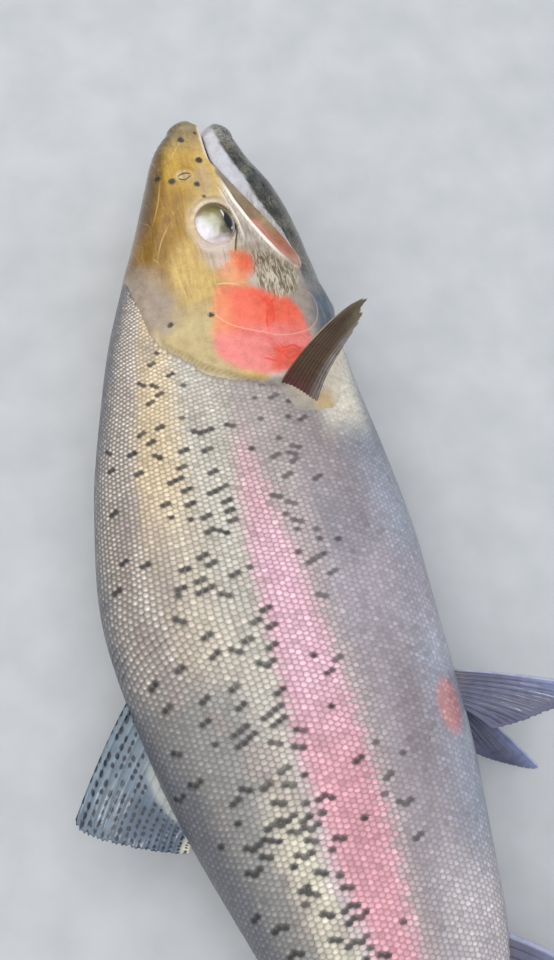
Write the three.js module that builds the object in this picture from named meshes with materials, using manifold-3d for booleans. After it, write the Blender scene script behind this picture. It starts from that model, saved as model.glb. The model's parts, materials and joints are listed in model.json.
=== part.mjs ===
// Rainbow trout, life size, lying at rest on its left flank with its right flank up.
// Millimetres. The snout points to +Y, the back to -X, the belly to +X and the right flank to +Z.
// The body is described in three measures of its own, which place() bends into that frame:
//   along  = distance from the snout towards the tail, on the bent mid-line,
//   height = distance from the mid-line towards the back (+) or the belly (-),
//   side   = distance from the mid-plane towards the right flank (+) or the left one (-).
import * as THREE from 'three';
import Module from 'manifold-3d';
import { mergeVertices } from 'three/addons/utils/BufferGeometryUtils.js';

const wasm = await Module();
wasm.setup();

// ---------------------------------------------------------------- driving dimensions
const BODY_END = 468; // end of the fleshy tail stalk; the fork of the tail fin is at 500
const GAP = 0.35; // clearance between neighbouring solids
const HEAD_BEND = 17.2; // degrees that the snout is turned up, towards the right flank
const TAIL_BEND = 28.6; // degrees that the tail end is turned up
const HEAD_DROOP = 4.6; // degrees that the snout is turned towards the belly side
const TAIL_DROOP = 11.5; // degrees that the tail end is turned towards the belly side
const HEAD_TWIST = 9.1; // degrees that the top of the head is rolled up
const HEAD_BEND_FROM = 170; // along, where the head end starts to bend
const TAIL_BEND_FROM = 215; // along, where the tail end starts to bend
const REST_FLAT = 1.2; // depth of the flat that the left flank rests on
const JAW_OPEN = 5; // degrees that the lower jaw hangs open
const JAW_JOINT = { along: 80, height: -32 };
const LIP_TIP = { along: -1, height: -1.5 }; // where the closed lips meet at the snout
const LIP_CORNER = { along: 66, height: -31 }; // corner of the mouth
const EYE = { along: 52, height: 3, radius: 10.5, depth: 6.5, sunk: 3.6 };
const PLATE = 4; // thickness of the gill cover and jaw plates

// Profile of the body with the mouth shut: back and belly heights over the mid-line, half width.
const PROFILE = [
  { name: 'snout', along: 0, back: 5, belly: 6, half: 5 },
  { name: 'nose', along: 5, back: 13.5, belly: 12, half: 9.5 },
  { name: 'nostril', along: 15, back: 20, belly: 19.5, half: 13.8 },
  { name: 'eye front', along: 29, back: 25.5, belly: 29, half: 18 },
  { name: 'eye', along: 48, back: 33.5, belly: 37, half: 22 },
  { name: 'cheek', along: 68, back: 42, belly: 43, half: 26 },
  { name: 'nape', along: 95, back: 52.5, belly: 49, half: 30.2 },
  { name: 'gill edge', along: 120, back: 60, belly: 51, half: 32.3 },
  { name: 'shoulder', along: 160, back: 70, belly: 56.5, half: 34.3 },
  { name: 'deepest', along: 205, back: 75.5, belly: 60.7, half: 35 },
  { name: 'pelvic fins', along: 262, back: 67.8, belly: 61, half: 34.8 },
  { name: 'vent', along: 345, back: 45.5, belly: 50.5, half: 26.9 },
  { name: 'adipose fin', along: 405, back: 30, belly: 31.3, half: 17.7 },
  { name: 'tail stalk', along: 436, back: 23.8, belly: 24.8, half: 12.8 },
  { name: 'tail root', along: 464, back: 25, belly: 26, half: 8 },
  { name: 'end', along: 475, back: 26, belly: 27, half: 5.5 },
];

// Colours, roughness and metalness of the plain materials.
const FINISH = {
  back: { color: 0x8d7f5c, roughness: 0.35, metalness: 0.1 },
  head: { color: 0xb5924a, roughness: 0.3, metalness: 0.05 },
  jaw: { color: 0x8f8a86, roughness: 0.3, metalness: 0.05 },
  gill_cover: { color: 0xe0664e, roughness: 0.3, metalness: 0.1 },
  flank: { color: 0xb08a92, roughness: 0.3, metalness: 0.15 },
  eye: { color: 0xc9c4b8, roughness: 0.1, metalness: 0.2 },
  fin: { color: 0x8c93a8, roughness: 0.4, metalness: 0.0 },
};

// ---------------------------------------------------------------- curves
const radians = THREE.MathUtils.degToRad;
const lerp = THREE.MathUtils.lerp;

// Smooth curve through the given points that never overshoots between them.
function smoothCurve(xs, ys) {
  const steps = xs.slice(1).map((x, i) => x - xs[i]);
  const slopes = steps.map((step, i) => (ys[i + 1] - ys[i]) / step);
  const tangents = xs.map((_, i) => {
    if (i === 0) return slopes[0];
    if (i === xs.length - 1) return slopes[i - 1];
    if (slopes[i - 1] * slopes[i] <= 0) return 0;
    const before = 2 * steps[i] + steps[i - 1];
    const after = steps[i] + 2 * steps[i - 1];
    return (before + after) / (before / slopes[i - 1] + after / slopes[i]);
  });
  return (x) => {
    let i = 0;
    while (i < steps.length - 1 && x > xs[i + 1]) i += 1;
    const t = THREE.MathUtils.clamp((x - xs[i]) / steps[i], 0, 1);
    const rise = ys[i + 1] - ys[i];
    const ease = t * t * (3 - 2 * t);
    const start = tangents[i] * steps[i] * t * (1 - t) * (1 - t);
    const end = tangents[i + 1] * steps[i] * t * t * (1 - t);
    return ys[i] + rise * ease + start - end;
  };
}

const profileCurve = (key) => smoothCurve(PROFILE.map((p) => p.along), PROFILE.map((p) => p[key]));
const backAt = profileCurve('back');
const bellyAt = profileCurve('belly');
const halfAt = profileCurve('half');

// ---------------------------------------------------------------- the bent mid-line
const SPINE_STEP = 2;
const SPINE_LENGTH = 560;
const SPINE_ZERO = 200; // along, the point that the spine is measured from

function bendAt(along, headAngle, tailAngle) {
  const head = Math.max(0, (HEAD_BEND_FROM - along) / HEAD_BEND_FROM) ** 1.3;
  const tail = Math.max(0, (along - TAIL_BEND_FROM) / 285) ** 1.2;
  return radians(headAngle) * head + radians(tailAngle) * tail;
}

// Unit vector towards the tail, as (towards tail, towards back, towards right flank).
function tailwards(along) {
  const sign = along < SPINE_ZERO ? -1 : 1;
  const bend = bendAt(along, HEAD_BEND, TAIL_BEND) * sign;
  const droop = bendAt(along, HEAD_DROOP, TAIL_DROOP) * -1;
  const straight = Math.cos(bend) * Math.cos(droop);
  return new THREE.Vector3(straight, Math.sin(droop) * sign, Math.sin(bend) * Math.cos(droop));
}

function makeSpine() {
  const points = [new THREE.Vector3()];
  for (let along = SPINE_STEP; along <= SPINE_LENGTH; along += SPINE_STEP) {
    const step = tailwards(along - SPINE_STEP).add(tailwards(along)).multiplyScalar(SPINE_STEP / 2);
    points.push(points[points.length - 1].clone().add(step));
  }
  const zero = points[SPINE_ZERO / SPINE_STEP].clone();
  return points.map((point) => point.sub(zero));
}

const spine = makeSpine();

function spinePoint(along) {
  const position = THREE.MathUtils.clamp(along, 0, SPINE_LENGTH - SPINE_STEP) / SPINE_STEP;
  const i = Math.floor(position);
  return spine[i].clone().lerp(spine[i + 1], position - i);
}

// Turns the body's own measures into the model's frame.
function place(along, height, side) {
  const tail = tailwards(Math.max(along, 0));
  const back = new THREE.Vector3(0, 1, 0).addScaledVector(tail, -tail.y).normalize();
  const right = new THREE.Vector3().crossVectors(tail, back);
  const t = THREE.MathUtils.clamp((175 - along) / 115, 0, 1);
  const twist = radians(HEAD_TWIST) * t * t * (3 - 2 * t);
  const up = height * Math.cos(twist) - side * Math.sin(twist);
  const out = height * Math.sin(twist) + side * Math.cos(twist);
  const point = spinePoint(along).addScaledVector(back, up).addScaledVector(right, out);
  point.addScaledVector(tail, Math.min(along, 0));
  return new THREE.Vector3(-point.y, -point.x, point.z);
}

// ---------------------------------------------------------------- solids
const FLOOR = -Math.max(...PROFILE.map((p) => p.half)) + REST_FLAT;

// Closed solid from points and triangles given as index triples, turned to face outwards.
function closedSolid(points, triangles) {
  const volume = triangles.reduce((sum, [a, b, c]) => {
    const cross = new THREE.Vector3().crossVectors(points[b], points[c]);
    return sum + points[a].dot(cross);
  }, 0);
  const faces = volume < 0 ? triangles.map(([a, b, c]) => [a, c, b]) : triangles;
  const vertProperties = new Float32Array(points.flatMap((p) => [p.x, p.y, p.z]));
  const triVerts = new Uint32Array(faces.flat());
  return new wasm.Manifold(new wasm.Mesh({ numProp: 3, vertProperties, triVerts }));
}

// Point of the section's outline: a squared ellipse, with a broad crown and a narrower throat
// at the head. The angle runs from the back (0) over the right flank to the belly (pi).
function sectionPoint(along, angle, inset) {
  const headPart = THREE.MathUtils.clamp((110 - along) / 60, 0, 1);
  const up = Math.cos(angle);
  const out = Math.sin(angle);
  const power = up > 0 ? lerp(0.95, 0.86, headPart) : lerp(0.95, 1.02, headPart);
  const reach = (up > 0 ? backAt(along) : bellyAt(along)) - inset;
  const height = Math.sign(up) * reach * Math.abs(up) ** power;
  const side = Math.sign(out) * (halfAt(along) - inset) * Math.abs(out) ** power;
  return { height, side };
}

// The whole body from snout to tail root, its surface moved inwards by the inset.
function bodySolid(inset, around = 32) {
  const stations = [0.4, 2, 5, 9, 14, 20, 27, 34, 41, 48, 55, 62, 69, 76, 84, 92, 101, 110, 120, 131,
    143, 156, 170, 185, 200, 216, 232, 248, 264, 280, 296, 312, 328, 344, 360, 376, 392, 408, 424,
    438, 452, BODY_END - 4 - inset, BODY_END - inset];
  const points = [place(-1.2 + inset, 0, 0)];
  const triangles = [];
  stations.forEach((along, ring) => {
    for (let i = 0; i < around; i += 1) {
      const { height, side } = sectionPoint(along, (i / around) * 2 * Math.PI, inset);
      const point = place(along, height, side);
      point.z = Math.max(point.z, FLOOR);
      points.push(point);
      const next = (i + 1) % around;
      const here = 1 + ring * around;
      if (ring === 0) triangles.push([0, here + i, here + next]);
      else {
        triangles.push([here - around + i, here + i, here + next]);
        triangles.push([here - around + i, here + next, here - around + next]);
      }
    }
  });
  const last = points.length;
  points.push(place(BODY_END + 2 - inset, 0, 0));
  for (let i = 0; i < around; i += 1) {
    triangles.push([last - around + i, last, last - around + ((i + 1) % around)]);
  }
  return closedSolid(points, triangles);
}

// Block with the given outline in along and height, standing from one side measure to another.
function outlineSolid(outline, sideFrom, sideTo) {
  const shape = new THREE.Shape(outline.map(([along, height]) => new THREE.Vector2(along, height)));
  const block = new THREE.ExtrudeGeometry(shape, { depth: sideTo - sideFrom, bevelEnabled: false });
  block.deleteAttribute('normal');
  block.deleteAttribute('uv');
  const merged = mergeVertices(block, 1e-4);
  const flat = merged.getAttribute('position');
  const points = [];
  for (let i = 0; i < flat.count; i += 1) {
    points.push(place(flat.getX(i), flat.getY(i), flat.getZ(i) + sideFrom));
  }
  const index = merged.getIndex().array;
  const triangles = [];
  for (let i = 0; i < index.length; i += 3) triangles.push([index[i], index[i + 1], index[i + 2]]);
  return closedSolid(points, triangles);
}

// Outline moved outwards by a margin, away from its middle.
function grown(outline, margin) {
  const middle = outline.reduce((sum, [a, h]) => [sum[0] + a, sum[1] + h], [0, 0]);
  const centre = middle.map((value) => value / outline.length);
  return outline.map(([along, height]) => {
    const reach = Math.hypot(along - centre[0], height - centre[1]);
    const scale = (reach + margin) / reach;
    return [centre[0] + (along - centre[0]) * scale, centre[1] + (height - centre[1]) * scale];
  });
}

function eyeSolid(sign, margin) {
  const ball = new THREE.SphereGeometry(1, 16, 10);
  ball.scale(EYE.radius + margin, EYE.radius + margin, EYE.depth + margin);
  ball.deleteAttribute('normal');
  ball.deleteAttribute('uv');
  const merged = mergeVertices(ball, 1e-4);
  const at = merged.getAttribute('position');
  const side = halfAt(EYE.along) - EYE.sunk;
  const points = [];
  for (let i = 0; i < at.count; i += 1) {
    points.push(place(EYE.along + at.getX(i), EYE.height + at.getY(i), sign * (side + at.getZ(i))));
  }
  const index = merged.getIndex().array;
  const triangles = [];
  for (let i = 0; i < index.length; i += 3) triangles.push([index[i], index[i + 1], index[i + 2]]);
  return closedSolid(points, triangles);
}

// ---------------------------------------------------------------- fins
// Each fin is a fan of rays from a root line to a free edge. Points are [along, height, side];
// bulge moves the middle of the free edge outwards (a negative one hollows it), cup bows the fin.
const FINS = {
  dorsal_fin: {
    rootFront: [236, 66, 0], rootRear: [291, 52, 0], tipFront: [279, 103, 0], tipRear: [298, 61.5, 0],
    bulge: 1, cup: 0, rays: 12,
  },
  adipose_fin: {
    rootFront: [398, 27, 0], rootRear: [411, 24, 0], tipFront: [411, 39, 0], tipRear: [419, 36, 0],
    bulge: 2, cup: 0, rays: 5,
  },
  anal_fin: {
    rootFront: [357, -42, 0], rootRear: [393, -30, 0], tipFront: [392, -76, 0], tipRear: [405, -40, 0],
    bulge: -1, cup: 0, rays: 10,
  },
  tail_fin: {
    rootFront: [460, 21, 0], rootRear: [460, -22, 0], tipFront: [526, 54, 0], tipRear: [526, -55, 0],
    bulge: -26, cup: 0, rays: 18,
  },
  pelvic_fin_right: {
    rootFront: [255, -55, 7], rootRear: [270, -54, 9], tipFront: [279, -109, 19], tipRear: [286, -66, 12],
    bulge: 3, cup: 2, rays: 9,
  },
  pelvic_fin_left: {
    rootFront: [255, -55, -7], rootRear: [270, -54, -9], tipFront: [307, -91, -15],
    tipRear: [291, -62, -12], bulge: 2, cup: -2, rays: 9,
  },
  pectoral_fin_right: {
    rootFront: [126, -15, 26], rootRear: [136, -28, 24], tipFront: [111, -33, 84],
    tipRear: [127, -35, 57], bulge: 4, cup: 3, rays: 11,
  },
  pectoral_fin_left: {
    rootFront: [127, -16, -29], rootRear: [135, -27, -25], tipFront: [192, -34, -31],
    tipRear: [163, -48, -27], bulge: 3, cup: 0, rays: 11,
  },
};
const FIN_ROOT_THICKNESS = 2.6;
const FIN_EDGE_THICKNESS = 0.9;

function finSolid({ rootFront, rootRear, tipFront, tipRear, bulge, cup, rays }) {
  const lengthwise = 5;
  const front = place(...rootFront);
  const rear = place(...rootRear);
  const tips = [place(...tipFront), place(...tipRear)];
  const spread = new THREE.Vector3().subVectors(rear, front);
  const reach = tips[0].clone().add(tips[1]).sub(front).sub(rear).multiplyScalar(0.5);
  const normal = new THREE.Vector3().crossVectors(spread, reach).normalize();
  const outward = reach.clone().normalize();
  const pair = (u, v) => {
    const root = front.clone().lerp(rear, u);
    const arch = 4 * u * (1 - u);
    const tip = tips[0].clone().lerp(tips[1], u).addScaledVector(outward, bulge * arch);
    const middle = root.lerp(tip, v).addScaledVector(normal, cup * v * v);
    const thick = lerp(FIN_ROOT_THICKNESS, FIN_EDGE_THICKNESS, v) * (0.75 + 0.25 * Math.sqrt(arch));
    return [
      middle.clone().addScaledVector(normal, thick / 2),
      middle.clone().addScaledVector(normal, -thick / 2),
    ];
  };
  const points = [];
  const triangles = [];
  const at = (i, j, face) => ((i * (lengthwise + 1)) + j) * 2 + face;
  for (let i = 0; i <= rays; i += 1) {
    for (let j = 0; j <= lengthwise; j += 1) points.push(...pair(i / rays, j / lengthwise));
  }
  const quad = (a, b, c, d) => triangles.push([a, b, c], [a, c, d]);
  for (let i = 0; i < rays; i += 1) {
    for (let j = 0; j < lengthwise; j += 1) {
      quad(at(i, j, 0), at(i + 1, j, 0), at(i + 1, j + 1, 0), at(i, j + 1, 0));
      quad(at(i, j, 1), at(i, j + 1, 1), at(i + 1, j + 1, 1), at(i + 1, j, 1));
    }
    quad(at(i, 0, 0), at(i, 0, 1), at(i + 1, 0, 1), at(i + 1, 0, 0));
    const j = lengthwise;
    quad(at(i, j, 0), at(i + 1, j, 0), at(i + 1, j, 1), at(i, j, 1));
  }
  for (let j = 0; j < lengthwise; j += 1) {
    const i = rays;
    quad(at(0, j, 0), at(0, j + 1, 0), at(0, j + 1, 1), at(0, j, 1));
    quad(at(i, j, 0), at(i, j, 1), at(i, j + 1, 1), at(i, j + 1, 0));
  }
  return closedSolid(points, triangles);
}

// ---------------------------------------------------------------- parting lines
const FAR = 130;
// Rear edge of the gill covers, from above the nape round to the throat.
const GILL_LINE = [[97, FAR], [98, 36], [109, 28], [117, 16], [122, 1], [125.5, -13], [122, -28],
  [111, -39], [98, -46], [90, -FAR]];

function aheadOf(line, shift) {
  return [[-40, FAR], ...line.map(([along, height]) => [along + shift, height]), [-40, -FAR]];
}

function aheadOfStation(along) {
  return [[-40, FAR], [along, FAR], [along, -FAR], [-40, -FAR]];
}

// Region of the lower jaw, under the lips and ahead of the cheek and throat.
const LOWER_JAW = [[-12, LIP_TIP.height], [LIP_CORNER.along, LIP_CORNER.height], [74, -35], [79, -42],
  [70, -FAR], [-12, -FAR]];
const GILL_COVER = [[80, 15], [89, 24], [98, 35], [109, 27.4], [117, 15.6], [122, 0.8], [125.4, -13],
  [121.8, -27.8], [111, -38.4], [100, -42], [88, -40], [80, -34]];
const MAXILLA = [[23, -1], [34, -3.5], [52, -15], [64, -24], [69, -28.5], [70, -33], [66, -34],
  [52, -25], [34, -15], [24, -8]];

// ---------------------------------------------------------------- assembling the parts
const body = bodySolid(0);
const core = bodySolid(PLATE);
const smallerCore = bodySolid(PLATE + GAP);
const clearance = bodySolid(-GAP);

function toMesh(name, solid, finish) {
  const { vertProperties, triVerts, numProp } = solid.getMesh();
  const positions = new Float32Array((vertProperties.length / numProp) * 3);
  for (let i = 0; i < positions.length / 3; i += 1) {
    positions.set(vertProperties.slice(i * numProp, i * numProp + 3), i * 3);
  }
  const geometry = new THREE.BufferGeometry();
  geometry.setAttribute('position', new THREE.BufferAttribute(positions, 3));
  geometry.setIndex(new THREE.BufferAttribute(new Uint32Array(triVerts), 1));
  geometry.computeVertexNormals();
  const mesh = new THREE.Mesh(geometry, new THREE.MeshStandardMaterial(FINISH[finish]));
  mesh.name = name;
  return mesh;
}

// Turns a solid down by the open angle of the jaw, round the jaw joint.
function openJaw(solid) {
  const hinge = place(JAW_JOINT.along, JAW_JOINT.height, 0);
  const axis = place(JAW_JOINT.along, JAW_JOINT.height, 1).sub(hinge).normalize();
  const turn = new THREE.Matrix4().makeTranslation(hinge.x, hinge.y, hinge.z);
  turn.multiply(new THREE.Matrix4().makeRotationAxis(axis, -radians(JAW_OPEN)));
  turn.multiply(new THREE.Matrix4().makeTranslation(-hinge.x, -hinge.y, -hinge.z));
  return solid.transform(turn.elements);
}

function headParts() {
  const parts = {};
  const headRegion = outlineSolid(aheadOf(GILL_LINE, 0), -60, 60);
  let head = body.intersect(headRegion);
  parts.lower_jaw = openJaw(body.intersect(outlineSolid(LOWER_JAW, -60, 60)));
  const jawSpace = outlineSolid(grown(LOWER_JAW, GAP), -60, 60);
  head = head.subtract(jawSpace).subtract(openJaw(jawSpace));
  for (const [name, sign] of [['right', 1], ['left', -1]]) {
    const range = sign > 0 ? [3, 60] : [-60, -3];
    const cover = outlineSolid(GILL_COVER, ...range);
    const coverSpace = outlineSolid(grown(GILL_COVER, GAP), ...range);
    parts[`gill_cover_${name}`] = body.intersect(headRegion).intersect(cover).subtract(core);
    head = head.subtract(coverSpace.subtract(smallerCore));
    const plate = outlineSolid(MAXILLA, ...range);
    const plateSpace = outlineSolid(grown(MAXILLA, GAP), ...range);
    parts[`maxilla_${name}`] = body.intersect(plate).subtract(core);
    head = head.subtract(plateSpace.subtract(smallerCore));
    parts.lower_jaw = parts.lower_jaw.subtract(plateSpace.subtract(smallerCore));
    parts[`eye_${name}`] = eyeSolid(sign, 0);
    head = head.subtract(eyeSolid(sign, GAP));
  }
  parts.head = head;
  return parts;
}

function trunkParts() {
  const behindHead = body.subtract(outlineSolid(aheadOf(GILL_LINE, 0.6), -60, 60));
  const cuts = { trunk_front: 240, trunk_rear: 385, tail_stalk: BODY_END + 20 };
  const parts = {};
  let rest = behindHead;
  for (const [name, end] of Object.entries(cuts)) {
    parts[name] = rest.intersect(outlineSolid(aheadOfStation(end), -60, 60));
    rest = rest.subtract(outlineSolid(aheadOfStation(end + GAP), -60, 60));
  }
  return parts;
}

const PART_FINISH = {
  head: 'head', lower_jaw: 'jaw', maxilla_right: 'jaw', maxilla_left: 'jaw',
  gill_cover_right: 'gill_cover', gill_cover_left: 'gill_cover', eye_right: 'eye', eye_left: 'eye',
  trunk_front: 'flank', trunk_rear: 'flank', tail_stalk: 'back',
};

function buildTrout() {
  const trout = new THREE.Group();
  const solids = { ...headParts(), ...trunkParts() };
  for (const [name, fin] of Object.entries(FINS)) {
    solids[name] = finSolid(fin).subtract(clearance);
  }
  for (const [name, solid] of Object.entries(solids)) {
    trout.add(toMesh(name, solid, PART_FINISH[name] ?? 'fin'));
  }
  // The origin is under the middle of the whole fish, on the plane that it rests on.
  const box = new THREE.Box3().setFromObject(trout);
  const middle = box.getCenter(new THREE.Vector3());
  trout.position.set(-middle.x, -middle.y, -box.min.z);
  const model = new THREE.Group();
  model.add(trout);
  return model;
}

export default buildTrout();
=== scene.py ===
# %% [markdown]
# # A rainbow trout, life size, lying on its left flank
# The fish is a still model. Its solids come packed as a fixed frame, and this script puts the
# visible fish round them: one skin from the lips to the tail, some twenty thousand scales over
# it, eyes, fins, and the light to see them by. Everything is worked out in three measures of the
# body's own, in millimetres: along (from the snout towards the tail), height (towards the back)
# and side (towards the right flank). One function bends them into the frame, so the markings and
# the scales never need to know how the fish lies.

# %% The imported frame
import json
import bpy
import numpy as np
from mathutils import Matrix, Vector

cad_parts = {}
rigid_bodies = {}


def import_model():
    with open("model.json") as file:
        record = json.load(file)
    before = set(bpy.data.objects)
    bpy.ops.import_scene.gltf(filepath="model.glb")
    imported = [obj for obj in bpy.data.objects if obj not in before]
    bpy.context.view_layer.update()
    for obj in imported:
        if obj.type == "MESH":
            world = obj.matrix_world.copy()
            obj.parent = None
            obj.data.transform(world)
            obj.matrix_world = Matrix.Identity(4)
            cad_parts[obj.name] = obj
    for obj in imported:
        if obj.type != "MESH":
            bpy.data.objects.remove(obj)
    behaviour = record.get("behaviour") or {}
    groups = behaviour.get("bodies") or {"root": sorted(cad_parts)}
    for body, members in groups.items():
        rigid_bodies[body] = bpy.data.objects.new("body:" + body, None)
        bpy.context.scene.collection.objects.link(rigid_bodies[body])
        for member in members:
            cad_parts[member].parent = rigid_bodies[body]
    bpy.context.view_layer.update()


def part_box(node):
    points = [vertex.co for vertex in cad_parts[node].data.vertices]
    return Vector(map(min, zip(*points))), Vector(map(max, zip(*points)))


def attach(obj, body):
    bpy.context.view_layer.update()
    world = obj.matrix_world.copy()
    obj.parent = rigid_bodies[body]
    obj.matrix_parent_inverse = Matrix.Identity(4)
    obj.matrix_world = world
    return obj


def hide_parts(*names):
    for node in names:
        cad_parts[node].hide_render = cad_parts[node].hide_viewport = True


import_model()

# %% [markdown]
# ## Driving sizes
# A trout is a spindle: its outline is set by three curves, the height of the back, the height of
# the belly and half the width. Sixteen stations are enough when a smooth curve joins them. The
# same stations drive the solids, so the skin lies where they lie.

# %% Sizes of the body, in millimetres and degrees
MM = 0.001
PROFILE = [  # along, back, belly, half width
    (0, 5, 5, 5), (5, 13.8, 8.8, 9.5), (15, 21.4, 15.2, 13.8), (29, 26.6, 26.2, 18),
    (48, 33.5, 35.8, 22), (68, 42, 43, 26), (95, 52.5, 49, 30.2), (120, 60, 51, 32.3),
    (160, 70, 56.5, 34.3), (205, 75.5, 60.7, 35), (262, 67.8, 61, 34.8),
    (345, 45.5, 50.5, 26.9), (405, 30, 31.3, 17.7), (436, 23.8, 24.8, 12.8),
    (464, 25, 26, 8), (475, 26, 27, 5.5),
]
WIDEST = 205.0
NOSE = {"from": 5.0, "reach": 6.2}
HEAD = {"bend": 17.2, "droop": 4.6, "bend_from": 170, "twist": 9.1, "twist_from": 175}
TAIL = {"bend": 28.6, "droop": 11.5, "bend_from": 215, "bend_over": 285}
SPINE_ZERO = 200
REST_FLAT = 1.2  # how far the left flank is pressed flat where the fish lies on it
JAW = {"joint": (80, -32), "open": 5.0, "short": 4.6}
LIP_TIP = (-1.2, 0)
LIP_CORNER = (66, -31)
EYE = {"along": 52.5, "height": 3.8, "radius": 11.6, "tall": 9.6, "depth": 6.4, "sunk": 4.3}
EYE_SOLID = {"along": 52, "height": 3, "sunk": 3.6}
print("body:", len(PROFILE), "stations over", PROFILE[-1][0], "mm")

# %% [markdown]
# ## Curves
# A curve through stations must not overshoot, or the fish gets a bump between them. The cubic
# below takes its slope at each station from a weighted harmonic mean of the slopes on each side,
# which is zero at a crest and never steeper than its neighbours allow.

# %% Smooth curves and steps
def smooth_curve(xs, ys):
    """Cubic through the points: y = rise * (3t^2 - 2t^3) plus the two end slopes' parts."""
    xs, ys = np.array(xs, float), np.array(ys, float)
    steps = np.diff(xs)
    slopes = np.diff(ys) / steps
    before, after = 2 * steps[1:] + steps[:-1], steps[1:] + 2 * steps[:-1]
    same_way = slopes[:-1] * slopes[1:] > 0
    safe = np.where(same_way[:, None], np.stack([slopes[:-1], slopes[1:]], 1), 1)
    inner = np.where(same_way, (before + after) / (before / safe[:, 0] + after / safe[:, 1]), 0)
    tangents = np.concatenate([slopes[:1], inner, slopes[-1:]])

    def curve(x):
        i = np.clip(np.searchsorted(xs, x, "right") - 1, 0, len(steps) - 1)
        t = np.clip((x - xs[i]) / steps[i], 0, 1)
        bend = tangents[i] * t * (1 - t) ** 2 - tangents[i + 1] * t * t * (1 - t)
        return ys[i] + (ys[i + 1] - ys[i]) * t * t * (3 - 2 * t) + steps[i] * bend

    return curve


def ease(x, start, end):
    """0 at start, 1 at end, with 3t^2 - 2t^3 between them; start may be the larger."""
    t = np.clip((np.asarray(x, float) - start) / (end - start), 0, 1)
    return t * t * (3 - 2 * t)


def mix(a, b, t):
    """a at t = 0, b at t = 1, and a straight line between them."""
    return a + (b - a) * t


stations = np.array(PROFILE, float).T
back_at, belly_at, half_at = (smooth_curve(stations[0], ys) for ys in stations[1:])
print("deepest:", float(back_at(WIDEST) + belly_at(WIDEST)), "mm, widest:", float(2 * half_at(WIDEST)))

# %% [markdown]
# ## The bent mid-line
# The fish lies on its left flank with its snout and its tail turned up. The mid-line is the sum
# of many short steps, each in the direction that the bend has at that place. place() then sets
# any point of the body off from it, and turns the head a little about its own length.

# %% From the body's measures to the frame
def bend_at(along, head_angle, tail_angle):
    """Bend in radians: the head's grows towards the snout, the tail's towards the fork."""
    head = np.maximum(0, (HEAD["bend_from"] - along) / HEAD["bend_from"]) ** 1.3
    tail = np.maximum(0, (along - TAIL["bend_from"]) / TAIL["bend_over"]) ** 1.2
    return np.radians(head_angle) * head + np.radians(tail_angle) * tail


def tailwards(along):
    """Unit vectors towards the tail, as (towards tail, towards back, towards right flank)."""
    sign = np.where(along < SPINE_ZERO, -1, 1)
    bend = bend_at(along, HEAD["bend"], TAIL["bend"]) * sign
    droop = -bend_at(along, HEAD["droop"], TAIL["droop"])
    level = np.cos(bend) * np.cos(droop)
    return np.stack([level, np.sin(droop) * sign, np.sin(bend) * np.cos(droop)], -1)


SPINE_STEP = 0.5
SPINE_ALONG = np.arange(0, 558.5, SPINE_STEP)
spine_steps = (tailwards(SPINE_ALONG)[1:] + tailwards(SPINE_ALONG)[:-1]) * (SPINE_STEP / 2)
SPINE = np.concatenate([np.zeros((1, 3)), np.cumsum(spine_steps, 0)])
SPINE = SPINE - SPINE[SPINE_ALONG == SPINE_ZERO]
print("mid-line: snout", SPINE[0].round(1), "and end", SPINE[-1].round(1), "from its zero, mm")


def place(points, origin=None):
    """Body measures (..., 3) in mm to the frame in metres.
    point = mid-line + up * back + out * right, with (height, side) turned by the twist first."""
    along, height, side = np.moveaxis(np.asarray(points, float), -1, 0)
    tail = tailwards(np.maximum(along, 0))
    back = np.array([0, 1, 0]) - tail * tail[..., 1:2]
    back = back / np.linalg.norm(back, axis=-1, keepdims=True)
    right = np.cross(tail, back)
    twist = np.radians(HEAD["twist"]) * ease(along, HEAD["twist_from"], 60)
    up = height * np.cos(twist) - side * np.sin(twist)
    out = height * np.sin(twist) + side * np.cos(twist)
    middle = np.stack([np.interp(along, SPINE_ALONG, SPINE[:, i]) for i in range(3)], -1)
    found = middle + back * up[..., None] + right * out[..., None]
    found = found + tail * np.minimum(along, 0)[..., None]
    turned = np.stack([-found[..., 1], -found[..., 0], found[..., 2]], -1)
    return turned * MM + (ORIGIN if origin is None else origin)


# %% Where the body's mid-line lies in the frame
eye_side = float(half_at(float(EYE_SOLID["along"]))) - EYE_SOLID["sunk"]
eye_middle = np.array([EYE_SOLID["along"], EYE_SOLID["height"], eye_side])
low, high = (np.array(corner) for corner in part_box("eye_right"))
ORIGIN = (low + high) / 2 - place(eye_middle, origin=np.zeros(3))
ORIGIN[2] = (half_at(WIDEST) - REST_FLAT) * MM
print("mid-line's zero in the frame:", ORIGIN.round(5))


def rest_on_floor(points, softness=0.25 * MM):
    """Presses what would be under the floor flat on it: z' = w * log(1 + exp(z / w))."""
    z = points[..., 2]
    pressed = softness * np.logaddexp(0, z / softness)
    return np.concatenate([points[..., :2], pressed[..., None]], -1)


# %% [markdown]
# ## The body's section
# Across the body the outline is a squared ellipse: |height/reach|^q + |side/half|^q = 1. The
# crown of the head is a little broader than that and the throat narrower, so q changes there.
# The snout closes as a quarter of an ellipse over its first few millimetres.

# %% Half width at any height
def girth(along):
    """Back, belly and half width at a place along the body, rounded off over the nose."""
    held = np.maximum(along, NOSE["from"])
    short = np.clip((NOSE["from"] - along) / NOSE["reach"], 0, 1)
    cap = np.sqrt(1 - short ** 2)
    return back_at(held) * cap, belly_at(held) * cap, half_at(held) * cap


def flank(along, height):
    """Half width of the body at that height: half * (1 - |height/reach|^(2/p))^(p/2)."""
    back, belly, half = girth(along)
    headward = np.clip((110 - along) / 60, 0, 1)
    reach = np.where(height > 0, back, belly)
    power = np.where(height > 0, mix(0.95, 0.86, headward), mix(0.95, 1.02, headward))
    share = np.clip(np.abs(height) / np.maximum(reach, 1e-6), 0, 1)
    return half * (1 - share ** (2 / power)) ** (power / 2)


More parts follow.
